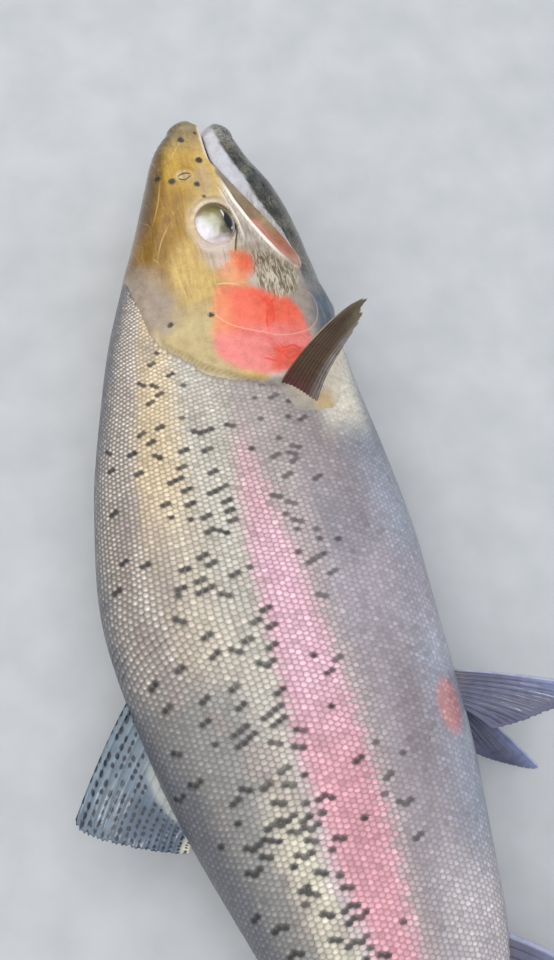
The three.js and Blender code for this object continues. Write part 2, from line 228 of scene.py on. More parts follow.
lateral_line = smooth_curve([60, 97, 120, 146, 214, 282, 352, 468], [24, 20, 16, 13, 7, 2, 2, 0])
print("half width on the lateral line:", float(flank(WIDEST, lateral_line(WIDEST)).round(2)), "mm")

# %% [markdown]
# ## A net over the whole fish
# One closed skin needs one net of rows and columns. On the trunk the rows are plain sections.
# A mouth breaks that: its lips run back along the side of the head. So on the head the rows fan
# out from the corner of the mouth, the upper ones over the snout to the crown and the lower ones
# round the jaw to the throat, and row 0 is the lips themselves. Every row is a sheet from a
# pivot to the mid-line, and meets the flank wherever flank() says. The rows between the rim of
# the lower lip and its outer edge make the lip's pale band, and the rows before row 0 line the
# inside of the mouth.

# %% Rows and columns
QUARTER = 80  # columns from the back to the lateral line, and on to the belly
FAN, BAND, INSIDE = 128, 12, 12  # rows on the head, in the lower lip, inside the mouth
FAN_END = 80  # where along the body the fan of rows gives way to plain sections
NECK = np.arange(81, 130, 1.1)
TRUNK = np.concatenate([np.arange(131, 463, 4.0), [464, 465.5, 467, 468]])
ROW_SAMPLES = np.linspace(0, 1, 260) ** 2
COLUMN_SHARE = np.linspace(0, 1, QUARTER + 1)[None]


def profile_route(sign, count):
    """Evenly spaced points on the head's mid-line, from the snout's tip to the fan's end."""
    angle = np.radians(np.linspace(0, 90, 60))
    reach = back_at(NOSE["from"]) if sign > 0 else belly_at(NOSE["from"])
    nose = np.stack([NOSE["from"] - NOSE["reach"] * np.cos(angle), sign * reach * np.sin(angle)], 1)
    s = np.arange(NOSE["from"] + 0.5, FAN_END + 0.01, 0.5)
    rest = np.stack([s, sign * (back_at(s) if sign > 0 else belly_at(s))], 1)
    route = np.concatenate([nose, rest])
    length = np.concatenate([[0], np.cumsum(np.linalg.norm(np.diff(route, axis=0), axis=1))])
    wanted = np.linspace(0, length[-1], count)
    return np.stack([np.interp(wanted, length, route[:, i]) for i in range(2)], 1)


def by_length(fine, share):
    """Points at the given shares of each row's length, and the rows' lengths.
    Row k's shares run from 2k to 2k + 1, so one np.interp() finds the points of all rows."""
    steps = np.linalg.norm(np.diff(fine, axis=1), axis=2)
    length = np.concatenate([np.zeros((len(fine), 1)), np.cumsum(steps, 1)], 1)
    apart = np.arange(len(fine))[:, None] * 2.0
    known, wanted = (length / length[:, -1:] + apart).ravel(), share + apart
    found = [np.interp(wanted.ravel(), known, fine[..., i].ravel()) for i in range(fine.shape[-1])]
    return np.stack(found, -1).reshape(*wanted.shape, -1), length[:, -1]


def section_rows(apex, pivot, lift, crowd):
    """Rows from the mid-line (apex) to the pivot, evenly spaced round the body.
    A row is apex + (pivot - apex) * v in along and height, lifted, and its side is flank().
    crowd draws the points of a row together towards the mid-line."""
    line = apex[:, None] + (pivot - apex)[:, None] * ROW_SAMPLES[None, :, None]
    height = line[..., 1] + lift
    fine = np.stack([line[..., 0], height, flank(line[..., 0], height)], -1)
    share = COLUMN_SHARE + crowd[:, None] * np.sin(2 * np.pi * COLUMN_SHARE) / (2 * np.pi)
    return by_length(fine, share)[0]


# %% Where each row starts and ends
rear = np.concatenate([NECK, TRUNK])
pivot_height = smooth_curve([80, 95, 112, 130, 146, 214, 282, 468], [-31, -14, 4, 14.6, 13, 7, 2, 0])
fan = np.linspace(0, 1, FAN + 1)
pivots = np.concatenate([np.stack([mix(LIP_CORNER[0], FAN_END, fan), 0 * fan + LIP_CORNER[1]], 1),
                         np.stack([rear, pivot_height(rear)], 1)])
crowd = np.concatenate([0.35 + 0 * fan, 0.35 * ease(rear, 130, 81)])
upper_apex = np.concatenate([profile_route(1, FAN + 1), np.stack([rear, back_at(rear)], 1)])
chin = np.concatenate([np.tile(LIP_TIP, (BAND, 1)), profile_route(-1, FAN + 1 - BAND)])
lower_apex = np.concatenate([chin, np.stack([rear, -belly_at(rear)], 1)])
print("rows:", len(pivots) + INSIDE, "columns:", 4 * QUARTER)

# %% The edge of the upper lip, and the opened jaw
lip_edge = smooth_curve([-1.2, 1.5, 6.5, 12, 19.5, 25.5, 32.5, 42, 51.4, 58.9, 66],
                        [0, 1.6, 2.2, 2.1, 1.4, -1.5, -6.4, -13.8, -21.3, -27.1, -31])
LIFTED_ROWS = 30
lift_of_lips = lip_edge(mix(LIP_TIP[0], LIP_CORNER[0], ROW_SAMPLES)) - LIP_CORNER[1] * ROW_SAMPLES
row_number = np.arange(len(pivots))
lift = np.clip(1 - row_number / LIFTED_ROWS, 0, 1)[:, None] ** 1.3 * lift_of_lips
upper = section_rows(upper_apex, pivots, lift, crowd)
lower = section_rows(lower_apex, pivots, 0 * lift, 0 * crowd)


def round_tip(points):
    """Draws the tip of the upper lip back and up by up to 2.3 mm, so that the nose ends round."""
    s, h, x = np.moveaxis(points, -1, 0)
    near = ease(np.hypot(s - LIP_TIP[0], h), 7.5, 0)
    return np.stack([s + 2.2 * near, h + 2.3 * near, x], -1)


def shorten(s):
    """Places along the jaw, moved back most at its tip."""
    return s + JAW["short"] * ease(s, 45, -2)


def open_jaw(points):
    """Turns the jaw down round its joint, less and less towards the mouth's corner and throat."""
    s, h, x = np.moveaxis(points, -1, 0)
    s = shorten(s)
    corner = np.hypot(s - LIP_CORNER[0], h - LIP_CORNER[1])
    angle = np.radians(JAW["open"]) * ease(s, 86, 72) * ease(corner, 1, 14)
    ds, dh = s - JAW["joint"][0], h - JAW["joint"][1]
    turned_s = JAW["joint"][0] + np.cos(angle) * ds - np.sin(angle) * dh
    turned_h = JAW["joint"][1] + np.cos(angle) * dh + np.sin(angle) * ds
    return np.stack([turned_s, turned_h, x], -1)


upper = round_tip(upper)
lower = open_jaw(lower)
print("the jaw's tip drops", float((upper[0, 0, 1] - lower[0, 0, 1]).round(1)), "mm below the snout's")

# %% The lower lip's band and the inside of the mouth
v = COLUMN_SHARE[0]
open_share = 1 - v ** 3
lip = upper[0]
rim_along = shorten(lip[:, 0]) + 1.2 * (1 - v) ** 4
rim_height = np.interp(rim_along, lip[:, 0], lip[:, 1]) - (0.5 + 1.5 * (1 - v)) * open_share
rim = np.stack([rim_along, rim_height, lip[:, 2] - np.minimum(1.5 * open_share, lip[:, 2] * 0.6)], 1)
t = (np.arange(BAND) / BAND)[:, None]
swell = np.sin(np.pi * t) * open_share
lower[:BAND] = mix(rim[None], lower[BAND][None], t[..., None])
lower[:BAND, :, 2] += 0.9 * swell * np.sqrt(v)
lower[:BAND, :, 0] -= 0.9 * swell * (1 - v) ** 2
deep = np.stack([mix(26, LIP_CORNER[0], v ** 2), np.zeros_like(v), upper[0][-1, 2] * v], 1)
deep[:, 1] = LIP_CORNER[1] * (deep[:, 0] - LIP_TIP[0]) / (LIP_CORNER[0] - LIP_TIP[0])
deep[:, 1] -= 2 * (1 - v)
t = (np.arange(INSIDE, 0, -1) / INSIDE)[:, None, None]
vault = np.sin(np.pi * t[..., 0]) * 3.2 * (1 - v ** 2)
palate = mix(upper[0][None], deep[None], t)
palate[..., 1] += vault
floor_of_mouth = mix(lower[0][None], deep[None] - np.stack([0 * v, 0.5 * (1 - v), 0 * v], 1), t)
floor_of_mouth[..., 1] -= vault
upper = np.concatenate([palate, upper])
lower = np.concatenate([floor_of_mouth, lower])
net = np.concatenate([upper, lower[:, ::-1][:, 1:]], 1)


def stalk_end(s):
    """Share of the half width left where the tail stalk rounds off: sqrt(1 - u^2) from 461 on."""
    return np.sqrt(1 - np.clip((s - 461) / 7.4, 0, 1) ** 2)


net[..., 2] *= stalk_end(net[..., 0])
print("net of one side:", net.shape)

# %% [markdown]
# ## Relief of the head
# The plain net is smooth. The head is not: a trout wears its skull on the outside. Each feature
# is a line or an outline in along and height, and the distance to it says how far the skin
# stands out or sinks there. The same distances are kept for the colours, so that a pale seam is
# painted exactly where the groove is cut.

# %% Distances to lines and outlines
def to_route(s, h, route):
    """Distance to a broken line, and how far along it (0 to 1) the nearest point is."""
    route = np.array(route, float)
    a, d = route[:-1], np.diff(route, axis=0)
    lengths = np.linalg.norm(d, axis=1)
    best, share = np.full(s.shape, 1e9), np.zeros(s.shape)
    covered = np.concatenate([[0], np.cumsum(lengths)]) / lengths.sum()
    for k in range(len(d)):
        t = np.clip(((s - a[k, 0]) * d[k, 0] + (h - a[k, 1]) * d[k, 1]) / lengths[k] ** 2, 0, 1)
        far = np.hypot(s - a[k, 0] - t * d[k, 0], h - a[k, 1] - t * d[k, 1])
        nearer = far < best
        best = np.where(nearer, far, best)
        share = np.where(nearer, mix(covered[k], covered[k + 1], t), share)
    return best, share


def beside(s, h, route):
    """Distance to a broken line, below 0 on one side of it, and the nearest point's share."""
    route = np.array(route, float)
    a, d = route[:-1], np.diff(route, axis=0)
    best, share = to_route(s, h, route)
    covered = np.concatenate([[0], np.cumsum(np.linalg.norm(d, axis=1))])
    k = np.clip(np.searchsorted(covered / covered[-1], share, "right") - 1, 0, len(d) - 1)
    turn = d[k, 0] * (h - a[k, 1]) - d[k, 1] * (s - a[k, 0])
    return np.where(turn < 0, -best, best), share


def within(s, h, outline):
    """Distance to a closed outline, positive inside it (the even-odd rule)."""
    closed = np.array(list(outline) + [outline[0]], float)
    inside = np.zeros(s.shape, bool)
    for (s0, h0), (s1, h1) in zip(closed[:-1], closed[1:]):
        crosses = (h0 > h) != (h1 > h)
        inside ^= crosses & (s < s0 + (s1 - s0) * (h - h0) / (h1 - h0 if h1 != h0 else 1))
    return np.where(inside, 1, -1) * to_route(s, h, closed)[0]


test_far, test_share = to_route(np.array(5.0), np.array(3.0), [(0, 0), (10, 0)])
print("a point 3 off the middle of a line:", float(test_far), "away, at", float(test_share), "of it")


# %% A smooth line, and soft noise
def rounded(route, per_step=6):
    """The line through the points as a smooth curve (a Catmull-Rom spline)."""
    p = np.array(route, float)
    p = np.concatenate([2 * p[:1] - p[1:2], p, 2 * p[-1:] - p[-2:-1]])
    t = np.linspace(0, 1, per_step, endpoint=False)[:, None, None]
    a, b, c, d = p[:-3], p[1:-2], p[2:-1], p[3:]
    found = 0.5 * (2 * b + (c - a) * t + (2 * a - 5 * b + 4 * c - d) * t ** 2
                   + (3 * b - a - 3 * c + d) * t ** 3)
    return np.concatenate([found.transpose(1, 0, 2).reshape(-1, 2), p[-2:-1]])


def mottle(points, size, seed):
    """Soft seeded noise from 0 to 1: random values on a lattice, eased between its corners.
    The lattice repeats after 32 cells, and the 100 keeps every place on its positive side."""
    values = np.random.default_rng(seed).random((32, 32, 32))
    q = np.asarray(points) / np.asarray(size, float) + 100.0
    cell = np.floor(q).astype(int)
    f = q - cell
    f = f * f * (3 - 2 * f)
    total = 0
    for corner in range(8):
        offset = np.array([corner & 1, corner >> 1 & 1, corner >> 2 & 1])
        weight = np.prod(np.where(offset, f, 1 - f), -1)
        i, j, k = np.moveaxis((cell + offset) % 32, -1, 0)
        total = total + weight * values[i, j, k]
    return total


print("a line of 3 points, rounded:", len(rounded([(0, 0), (1, 1), (2, 0)])), "points")

# %% Lines of the head, as (along, height)
MAXILLA_TOP = rounded([(27.5, -0.4), (31.5, -2), (36, -3.8), (41, -5.8), (45.9, -8.4),
                       (50.4, -10.8), (54.9, -13.6), (60.9, -17.6), (67.4, -22.6), (70.4, -25.4)])
MAXILLA = [*MAXILLA_TOP, (72, -27.2), (73, -29.4), (72.2, -31.6), (69.5, -32.8), (66.5, -32.4),
           (58.9, -28), (51.4, -22.2), (42, -14.8), (32.5, -7.2), (25.5, -2.4), (22.5, -0.6)]
CHEEK_RIDGE = rounded([(31, 0.8), (35, -0.8), (40.5, -2.6), (45.4, -4), (50.4, -5.5),
                       (54.9, -6.4), (58.5, -6.8), (62.5, -6.2)])
SOCKET_LINE = rounded([(42.5, 0.4), (45.9, -2.2), (50.4, -4.1), (54.9, -4.4), (58.4, -3.4),
                       (66.4, -1.6)])
GILL_EDGE = rounded([(97, 60), (98, 37.5), (103.4, 33), (109.4, 26), (115, 20), (119, 13),
                     (122, 6), (125.2, -4), (126, -14), (122.5, -24), (112, -34.5), (100, -42),
                     (88, -46), (78, -47)])
HEAD_OUTLINE = [(-40, 90), *GILL_EDGE, (60, -90), (-40, -90)]
PREOPERCLE = rounded([(86, 18.5), (88, 17), (92.9, 11.7), (98.4, 5.9), (102.9, -5.4),
                      (105.6, -17), (103.4, -28), (97, -33.6), (88, -35.4), (83.6, -31),
                      (84.4, -25.5)])
EYE_SEAM = rounded([(79.4, 10.5), (79.2, 6), (79.8, 2), (81, -1.5)])
LOWER_SEAM = rounded([(84, -36), (95, -38.5), (106, -36), (116, -30), (121.5, -24)])
GILL_RAYS = [[(73 + 3 * i, -39.5 - 1.6 * i), (86 + 3 * i, -41.5 - 1.2 * i),
              (103 + 1.5 * i, -38.5 - 2.2 * i)] for i in range(5)]
CANALS = [rounded([(9.5, 10), (12.5, 12.6), (15.5, 14.5), (20, 18)]),
          rounded([(24.5, 21.4), (31.5, 23.2), (38.5, 25.1), (45.4, 27.7), (50, 30.5)]),
          rounded([(45.9, 20.2), (49.4, 23.2), (54.4, 26.2), (59.9, 28.6), (66.4, 30.5)])]
STREAKS = [rounded([(84.9, -7.4), (87.4, -9.2), (90.4, -11), (94.4, -10.6), (98.9, -9.5),
                    (108.4, -10.2)]),
           rounded([(87.4, -15.3), (91.4, -13), (95.9, -13.2), (100.9, -11.9)]),
           rounded([(107.9, -12.6), (111.9, -14.7), (110.9, -18.8), (113.4, -22.9), (112.9, -26.9)]),
           rounded([(110.9, -9.1), (114.9, -14.1), (117.4, -15.9), (115.9, -19.2), (114.4, -23.2)]),
           rounded([(115.4, -4.8), (116.9, -8.3), (118.4, -12.2)])]
EYE_FOLDS = [[(57, 13.6), (63.4, 12.5), (70.5, 12.3)], [(62.5, 8.9), (68.9, 8.2), (74, 8.8)],
             [(61, 2.9), (67.4, 3.2), (72, 3.8)]]
WRINKLES = [(64.4, -9.5), (67.4, -18), (71.4, -25.8), (76.9, -28.7), (84.9, -25.2), (87.4, -17),
            (81.5, -9.2), (73.9, -8.6)]
NOSTRIL = (27.4, 12.8)
NOSTRIL_SIZE = (2.5, 3.3)  # half sizes
JAW_PORES = [(10 + 7.5 * i, -12.5 - 3.1 * i) for i in range(7)]
SOCKET = {"ahead": 1.5, "long": 9.5, "tall": 8.3, "tilt": np.radians(9)}
print("gill cover's edge:", len(GILL_EDGE), "points, the maxilla's:", len(MAXILLA))


# %% Relief of the head
def eye_reach(s, h):
    """1 on the rim of the eye's opening and 0 at its middle: a turned ellipse whose middle lies
    a little ahead of the ball's."""
    ds, dh = s - EYE["along"] + SOCKET["ahead"], h - EYE["height"]
    u = ds * np.cos(SOCKET["tilt"]) + dh * np.sin(SOCKET["tilt"])
    w = -ds * np.sin(SOCKET["tilt"]) + dh * np.cos(SOCKET["tilt"])
    return np.hypot(u / SOCKET["long"], w / SOCKET["tall"])


def behind_eye(s, h):
    """1 on the tail's side and above of the eye, 0 on the snout's side and below."""
    ds, dh = s - EYE["along"], h - EYE["height"]
    return ease((0.85 * ds + 0.55 * dh) / np.maximum(np.hypot(ds, dh), 1), -0.25, 0.6)


def hump(far, width):
    """A bell over a line: 1 on it, exp(-(far / width)^2) beside it."""
    return np.exp(-(far / width) ** 2)


def head_relief(s, h, points):
    """How far the skin stands out of the plain net, in mm."""
    # the upper jaw's plate, its ridge and the groove over it
    plate = within(s, h, MAXILLA)
    ridge, ridge_share = to_route(s, h, MAXILLA_TOP)
    on_ridge = ease(ridge_share, 0, 0.08)
    up = 0.8 * ease(plate, -0.9, 0.9) + 0.6 * on_ridge * hump(ridge, 0.8)
    up = up - 0.5 * hump(ridge - 2.1, 1.1) * (plate < 0) * ease(s, 30, 38)
    cheek, share = to_route(s, h, CHEEK_RIDGE)
    up = up + 0.9 * hump(cheek, 0.9) * ease(share, 0, 0.15) * ease(share, 1, 0.8)
    # the rim of the eye and its socket
    reach, away = eye_reach(s, h), behind_eye(s, h)
    up = up + mix(0.7, 0.45, away) * hump(reach - 1.13, mix(0.11, 0.2, away))
    up = up - 0.5 * away * ease(reach, 2.0, 1.3) - 7.0 * ease(reach, 1.03, 0.82)
    up = up - 0.5 * hump(reach - 1.5, 0.18) * ease(h, 2, 10) * (1 - away)
    # the nostril and the flap across it
    ds, dh = s - NOSTRIL[0], h - NOSTRIL[1]
    pit = np.hypot((ds - 0.15 * dh) / NOSTRIL_SIZE[0], dh / NOSTRIL_SIZE[1])
    up = up + 0.35 * hump(pit - 1.15, 0.3) - 0.8 * ease(pit, 1.0, 0.45)
    up = up + 1.0 * hump(ds - 0.15 * dh, 0.9) * ease(np.abs(dh), 3.0, 1.4)
    # the gill cover's free edge, then seams, rays, pores and wrinkles
    gill, share = to_route(s, h, GILL_EDGE)
    ahead = within(s, h, HEAD_OUTLINE) > 0
    cover = np.where(ahead, 1.5 * ease(gill, 0, 1.1) * ease(gill, 22, 3), -1.1 * ease(gill, 4.5, 0))
    up = up + cover * ease(h, 42, 26) * ease(s, 84, 100)
    for seam, depth, width in ((PREOPERCLE, 0.45, 0.9), (EYE_SEAM, 0.35, 0.9), (LOWER_SEAM, 0.5, 1.1)):
        far, share = to_route(s, h, seam)
        up = up - depth * hump(far, width) * ease(share, 0, 0.1) * ease(share, 1, 0.9)
    for route in GILL_RAYS:
        far, share = to_route(s, h, rounded(route))
        up = up + 0.6 * hump(far, 1.2) * ease(share, 0, 0.2) * ease(share, 1, 0.85)
    for route in CANALS:
        up = up - 0.25 * hump(to_route(s, h, route)[0], 0.6)
    for ps, ph in JAW_PORES:
        up = up - 0.5 * np.exp(-((s - ps) ** 2 + (h - ph) ** 2) / 0.7)
    wrinkled = ease(within(s, h, WRINKLES), -1, 2.5)
    up = up + 0.7 * wrinkled * (mottle(points, (6, 1.7, 2), 4) - 0.5)
    brow = ease(s, 4, 10) * ease(s, 22, 12) * ease(h, 6, 10)
    return up + 0.15 * brow * np.sin(s * 2.4 + h * 0.5)


# %% The skin's shape
def outward(points):
    """Unit normals of a net of one side of the body, from its rows' and columns' directions."""
    down = np.gradient(points, axis=0)
    across = np.gradient(points, axis=1)
    normal = np.cross(across, down)
    size = np.linalg.norm(normal, axis=-1, keepdims=True)
    return normal / np.maximum(size, 1e-9)


normals = outward(net)
normals[:, [0, -1], 2] = 0
normals[:, -1, 1] = -np.abs(normals[:, -1, 1])
relief = head_relief(net[..., 0], net[..., 1], net)
relief = relief * ease(np.arange(len(net)), INSIDE - 1, INSIDE + 2)[:, None]
relief[:, [0, -1]] *= 0.3
COAT_DEPTH = 0.6  # how far the skin lies inside, to leave room for the scales
SCALE_EDGE = [(64, 95), (69, 42), (88, 39.7), (102.5, 36), (113.5, 25.5), (122.6, 12), (128.2, -4),
              (130, -11), (139, -16), (142, -26), (138, -36), (124, -40), (112, -46), (106, -60),
              (106, -95), (500, -95), (500, 95)]
behind = within(net[..., 0], net[..., 1], SCALE_EDGE)
relief = relief - COAT_DEPTH * ease(behind, -1.0, 1.5)
side = net + normals * relief[..., None]
side[..., 2] = np.where(net[..., 2] <= 0, 0, np.maximum(side[..., 2], 0))
print("relief from", relief.min().round(2), "to", relief.max().round(2), "mm")


# %% From one side to a closed skin
def both_sides(one, mirrored=(1, 1, 1)):
    """One side's columns, then the other side's in reverse, so that the columns run all round.
    Points are multiplied by (1, 1, -1) on the other side, colours and numbers stay as they are."""
    other = one[:, -2:0:-1]
    return np.concatenate([one, other * np.array(mirrored) if one.ndim == 3 else other], 1)


def skin_faces(rows, columns):
    """Quads between neighbouring rows and columns, and strips that close both ends."""
    index = np.arange(rows * columns).reshape(rows, columns)
    around = np.roll(index, -1, 1)
    walls = np.stack([index[:-1], around[:-1], around[1:], index[1:]], -1).reshape(-1, 4)
    q = QUARTER
    first, last = index[0], index[-1]  # the innermost row of the mouth, the end of the stalk
    j = np.arange(0, q - 1)
    roof = np.stack([first[j], first[2 * q - j], first[2 * q - j - 1], first[j + 1]], -1)
    far = np.stack([first[-j], first[-j - 1], first[2 * q + j + 1], first[2 * q + j]], -1)
    i = np.arange(1, 2 * q - 1)
    end = np.stack([last[i], last[i + 1], last[-i - 1], last[-i]], -1)
    quads = np.concatenate([walls, roof, far, end])
    corners = [(first[q - 1], first[q + 1], first[q]), (first[-q], first[-q + 1], first[-q - 1]),
               (last[0], last[1], last[-1]), (last[2 * q - 1], last[2 * q], last[2 * q + 1])]
    return quads, np.array(corners)


# %% Meshes from arrays
def new_piece(name, points, quads, triangles=(), colours=None, numbers=None, uv=None, soft=None):
    """A mesh object from arrays, with colour and number attributes on its vertices.
    soft says for each face whether it is shaded smoothly; without it all of them are."""
    triangles = np.array(triangles, int).reshape(-1, 3)
    corners = np.concatenate([np.asarray(quads).ravel(), triangles.ravel()])
    sizes = np.concatenate([np.full(len(quads), 4), np.full(len(triangles), 3)])
    mesh = bpy.data.meshes.new(name)
    mesh.vertices.add(len(points))
    mesh.vertices.foreach_set("co", np.asarray(points, np.float32).ravel())
    mesh.loops.add(len(corners))
    mesh.loops.foreach_set("vertex_index", corners.astype(np.int32))
    mesh.polygons.add(len(sizes))
    mesh.polygons.foreach_set("loop_start", (np.cumsum(sizes) - sizes).astype(np.int32))
    mesh.polygons.foreach_set("use_smooth", np.ones(len(sizes), bool) if soft is None else soft)
    mesh.update(calc_edges=True)
    for key, values in (colours or {}).items():
        kept = mesh.attributes.new(key, "FLOAT_COLOR", "POINT")
        rgba = np.concatenate([values, np.ones((len(values), 1))], 1)
        kept.data.foreach_set("color", rgba.astype(np.float32).ravel())
    for key, values in (numbers or {}).items():
        kept = mesh.attributes.new(key, "FLOAT", "POINT")
        kept.data.foreach_set("value", np.asarray(values, np.float32).ravel())
    if uv is not None:
        layer = mesh.uv_layers.new(name="OFBake")
        layer.data.foreach_set("uv", np.asarray(uv, np.float32)[corners].ravel())
    mesh.validate()
    piece = bpy.data.objects.new(name, mesh)
    bpy.context.scene.collection.objects.link(piece)
    return piece


def volume_of(points, quads, triangles):
    """Signed volume: a sixth of the sum of a . (b x c) over the triangles."""
    halves = np.concatenate([quads[:, :3], quads[:, [0, 2, 3]],
                             np.array(triangles, int).reshape(-1, 3)])
    a, b, c = (points[halves[:, i]] for i in range(3))
    return (a * np.cross(b, c)).sum() / 6


# %% The skin's points and faces
whole = both_sides(side, mirrored=(1, 1, -1))
skin_points = rest_on_floor(place(whole.reshape(-1, 3)))
skin_quads, skin_corners = skin_faces(*whole.shape[:2])
skin_volume = volume_of(skin_points, skin_quads, skin_corners)
if skin_volume < 0:
    skin_quads, skin_corners = skin_quads[:, ::-1], skin_corners[:, ::-1]
print("skin:", len(skin_quads) * 2 + len(skin_corners), "triangles,",
      round(abs(skin_volume) * 1000, 3), "litres")

# %% [markdown]
# ## Colours of the body
# A trout's colours run in long zones: grey along the ridge, pearl and cream down to the rose
# band, mauve silver below it and grey blue under the belly. The darker grey at the ridge and the
# blue under the belly are partly painted shade, and the bright middle of each scale is partly
# painted highlight. Flank and head are painted as a maker would, the broad colours first and each
# smaller patch over them, every patch with its own soft edge. One image would do it too, but coats
# in the body's own measures also serve the scales.

# %% Mixing paints
def paint(red, green, blue):
    """A display colour from 0 to 255 as linear light."""
    c = np.array([red, green, blue], float) / 255
    return np.where(c <= 0.04045, c / 12.92, ((c + 0.055) / 1.055) ** 2.4)


def over(tone, colour, mask):
    """Lays a colour over the tone where the mask is 1."""
    return tone + (np.asarray(colour) - tone) * np.asarray(mask)[..., None]


def plain(like, red, green, blue):
    """One display colour at every point of an array."""
    return paint(red, green, blue) + np.zeros(like.shape + (3,))


def layered(tone, *coats):
    """The tone under coats of paint, each a pair of where it goes and its display colour."""
    for where, mixed in coats:
        tone = over(tone, paint(*mixed), where)
    return tone


def blob(s, h, centre, radii, soft=0.5, turn=0.0):
    """1 inside an ellipse, eased to 0 over the given share of its radii outside it."""
    ds, dh = s - centre[0], h - centre[1]
    c, n = np.cos(np.radians(turn)), np.sin(np.radians(turn))
    reach = np.hypot((ds * c + dh * n) / radii[0], (-ds * n + dh * c) / radii[1])
    return ease(reach, 1 + soft / 2, 1 - soft / 2)


print("middle grey as linear light:", paint(128, 128, 128).round(3))

# %% Colours of the flank
band_top = smooth_curve([140, 153, 174, 198, 222, 254, 277, 301, 323, 343, 400, 460],
                        [10.5, 11.8, 13.7, 14.3, 13.8, 13.6, 13, 11.8, 11.2, 8.5, 5, 3])
band_bottom = smooth_curve([140, 153, 174, 198, 226, 260, 284, 307, 330, 347, 400, 460],
                           [8.5, 5.8, 2.3, -1.9, -5.6, -9, -9.5, -9.4, -7.9, -5.8, -4, -3])


def flank_share(s, h):
    """0 on the lateral line, 1 on the ridge of the back, -1 on the keel of the belly."""
    back, belly, _ = girth(s)
    line = lateral_line(s)
    return np.where(h > line, (h - line) / (back - line), (h - line) / (belly + line))


def body_paint(s, h, stir, points):
    """Two tones of the flank, of a scale's middle and of the net between; stir frets the edges.
    The bright middles are partly the scales' own silver and partly painted highlight.
    """
    rise = flank_share(s, h) + 0.025 * stir
    cloud = mottle(points, (17, 8, 8), 61) - 0.5
    low = ease(h + 2 * stir, band_bottom(s) + 3, band_bottom(s) - 3)
    in_band = ease(h + 1.8 * stir, band_bottom(s) - 5, band_bottom(s) + 5)
    in_band = in_band * ease(h + 1.2 * stir, band_top(s) + 4, band_top(s) - 4.5)
    in_band = in_band * ease(s, 132, 156) * ease(s, 470, 446)
    rearwards, near_tail = ease(s, 235, 300), ease(s, 268, 312)
    margin = 0.91 - 0.04 * ease(s, 150, 132) - 0.03 * ease(s, 180, 210) - 0.1 * ease(s, 248, 282)
    front_low = ease(s, 190, 130) * ease(rise, 0.1, -0.15)
    coats = [  # where, a scale's middle, the net between
        # the back, from the band up to the ridge
        (ease(rise, 0.25, 0.45), (220, 209, 192), (144, 134, 122)),
        (ease(rise, 0.45, 0.65), (210, 196, 180), (132, 119, 108)),
        (ease(rise, 0.25, 0.5) * ease(s, 200, 150), (232, 214, 180), (150, 128, 100)),
        # the next two coats: near-white scale middles over a dark net on the upper flank, painted
        # glints
        (ease(rise, 0.62, 0.76) * ease(s, 262, 236), (250, 238, 224), (106, 98, 94)),
        (ease(rise, 0.6, 0.72) * ease(s, 190, 212) * ease(s, 262, 236),
         (255, 244, 232), (124, 116, 110)),
        (ease(rise, 0.22 + 0.22 * near_tail, 0.5 + 0.16 * near_tail) * ease(s, 224, 254),
         (160, 158, 155), (112, 110, 109)),
        (ease(rise, 0.1, 0.18) * ease(rise, 0.6, 0.42) * near_tail * 0.8,
         (228, 222, 202), (160, 155, 138)),
        # darker blue grey along the ridge: partly the back's own colour, partly painted shade where the
        # back turns away
        (ease(rise, margin - 0.03, margin + 0.13), (132, 132, 136), (94, 95, 101)),
        (ease(cloud, 0.04, 0.3) * ease(rise, 0.1, 0.35) * ease(rise, 0.88, 0.8) * 0.6,
         (198, 183, 176), (126, 114, 110)),
        # below the band, down to the keel
        (low, (198, 184, 184), (138, 127, 129)),
        (low * ease(s, 230, 270) * ease(rise, -0.3, -0.1), (214, 182, 190), (158, 130, 138)),
        (ease(rise, -0.22, -0.42), (166, 157, 163), (142, 134, 140)),
        # grey blue towards the keel: partly the belly's own colour, partly painted bluish shade
        (ease(rise, -0.55, -0.9), (172, 175, 189), (146, 150, 166)),
        (ease(np.abs(rise + 0.5), 0.2, 0.08) * ease(s, 168, 182) * ease(s, 214, 198) * 0.6,
         (148, 144, 152), (126, 122, 130)),
        (ease(rise, -0.7, -0.88) * ease(s, 205, 228) * ease(s, 262, 244),
         (196, 198, 212), (172, 175, 190)),
        (ease(np.abs(rise + 0.54), 0.14, 0.04) * ease(s, 252, 268) * ease(s, 296, 282) * 0.7,
         (150, 138, 145), (128, 118, 126)),
        (ease(s, 310, 350) * ease(rise, -0.3, -0.55), (214, 206, 209), (152, 145, 149)),
        (ease(s, 190, 215) * ease(s, 250, 225) * ease(rise, -0.2, -0.4) * 0.7,
         (186, 178, 188), (158, 150, 160)),
        (front_low * 0.8, (172, 162, 159), (140, 132, 129)),
        # bluer, darker lowest edge of the belly in front: partly its own colour, partly painted bluish
        # shade
        (front_low * ease(rise, -0.55, -0.8) * 0.9, (140, 149, 166), (120, 130, 148)),
        (ease(s, 160, 138) * ease(h, -22, -32) * ease(h, -54, -42),
         (230, 223, 208), (222, 214, 198)),
        # the rose band, and the pink patch by the belly fins
        (ease(np.abs(h - band_top(s) - 2.5), 4.5, 1.5) * rearwards * 0.8,
         (216, 200, 204), (152, 136, 141)),
        (in_band, (228, 190, 198), (156, 112, 122)),
        (in_band * ease(s, 170, 205), (240, 198, 214), (168, 122, 138)),
        (in_band * rearwards, (228, 172, 182), (176, 116, 128)),
        (blob(s, h, (270.5, -50), (11.5, 5.5), 0.6, 5) * 0.9, (214, 156, 156), (192, 136, 137)),
    ]
    dot = layered(plain(s, 212, 206, 194), *[(where, mixed) for where, mixed, _ in coats])
    between = layered(plain(s, 138, 133, 122), *[(where, mixed) for where, _, mixed in coats])
    shade = (1 - 0.22 * cloud)[..., None]
    return dot * shade, between * shade


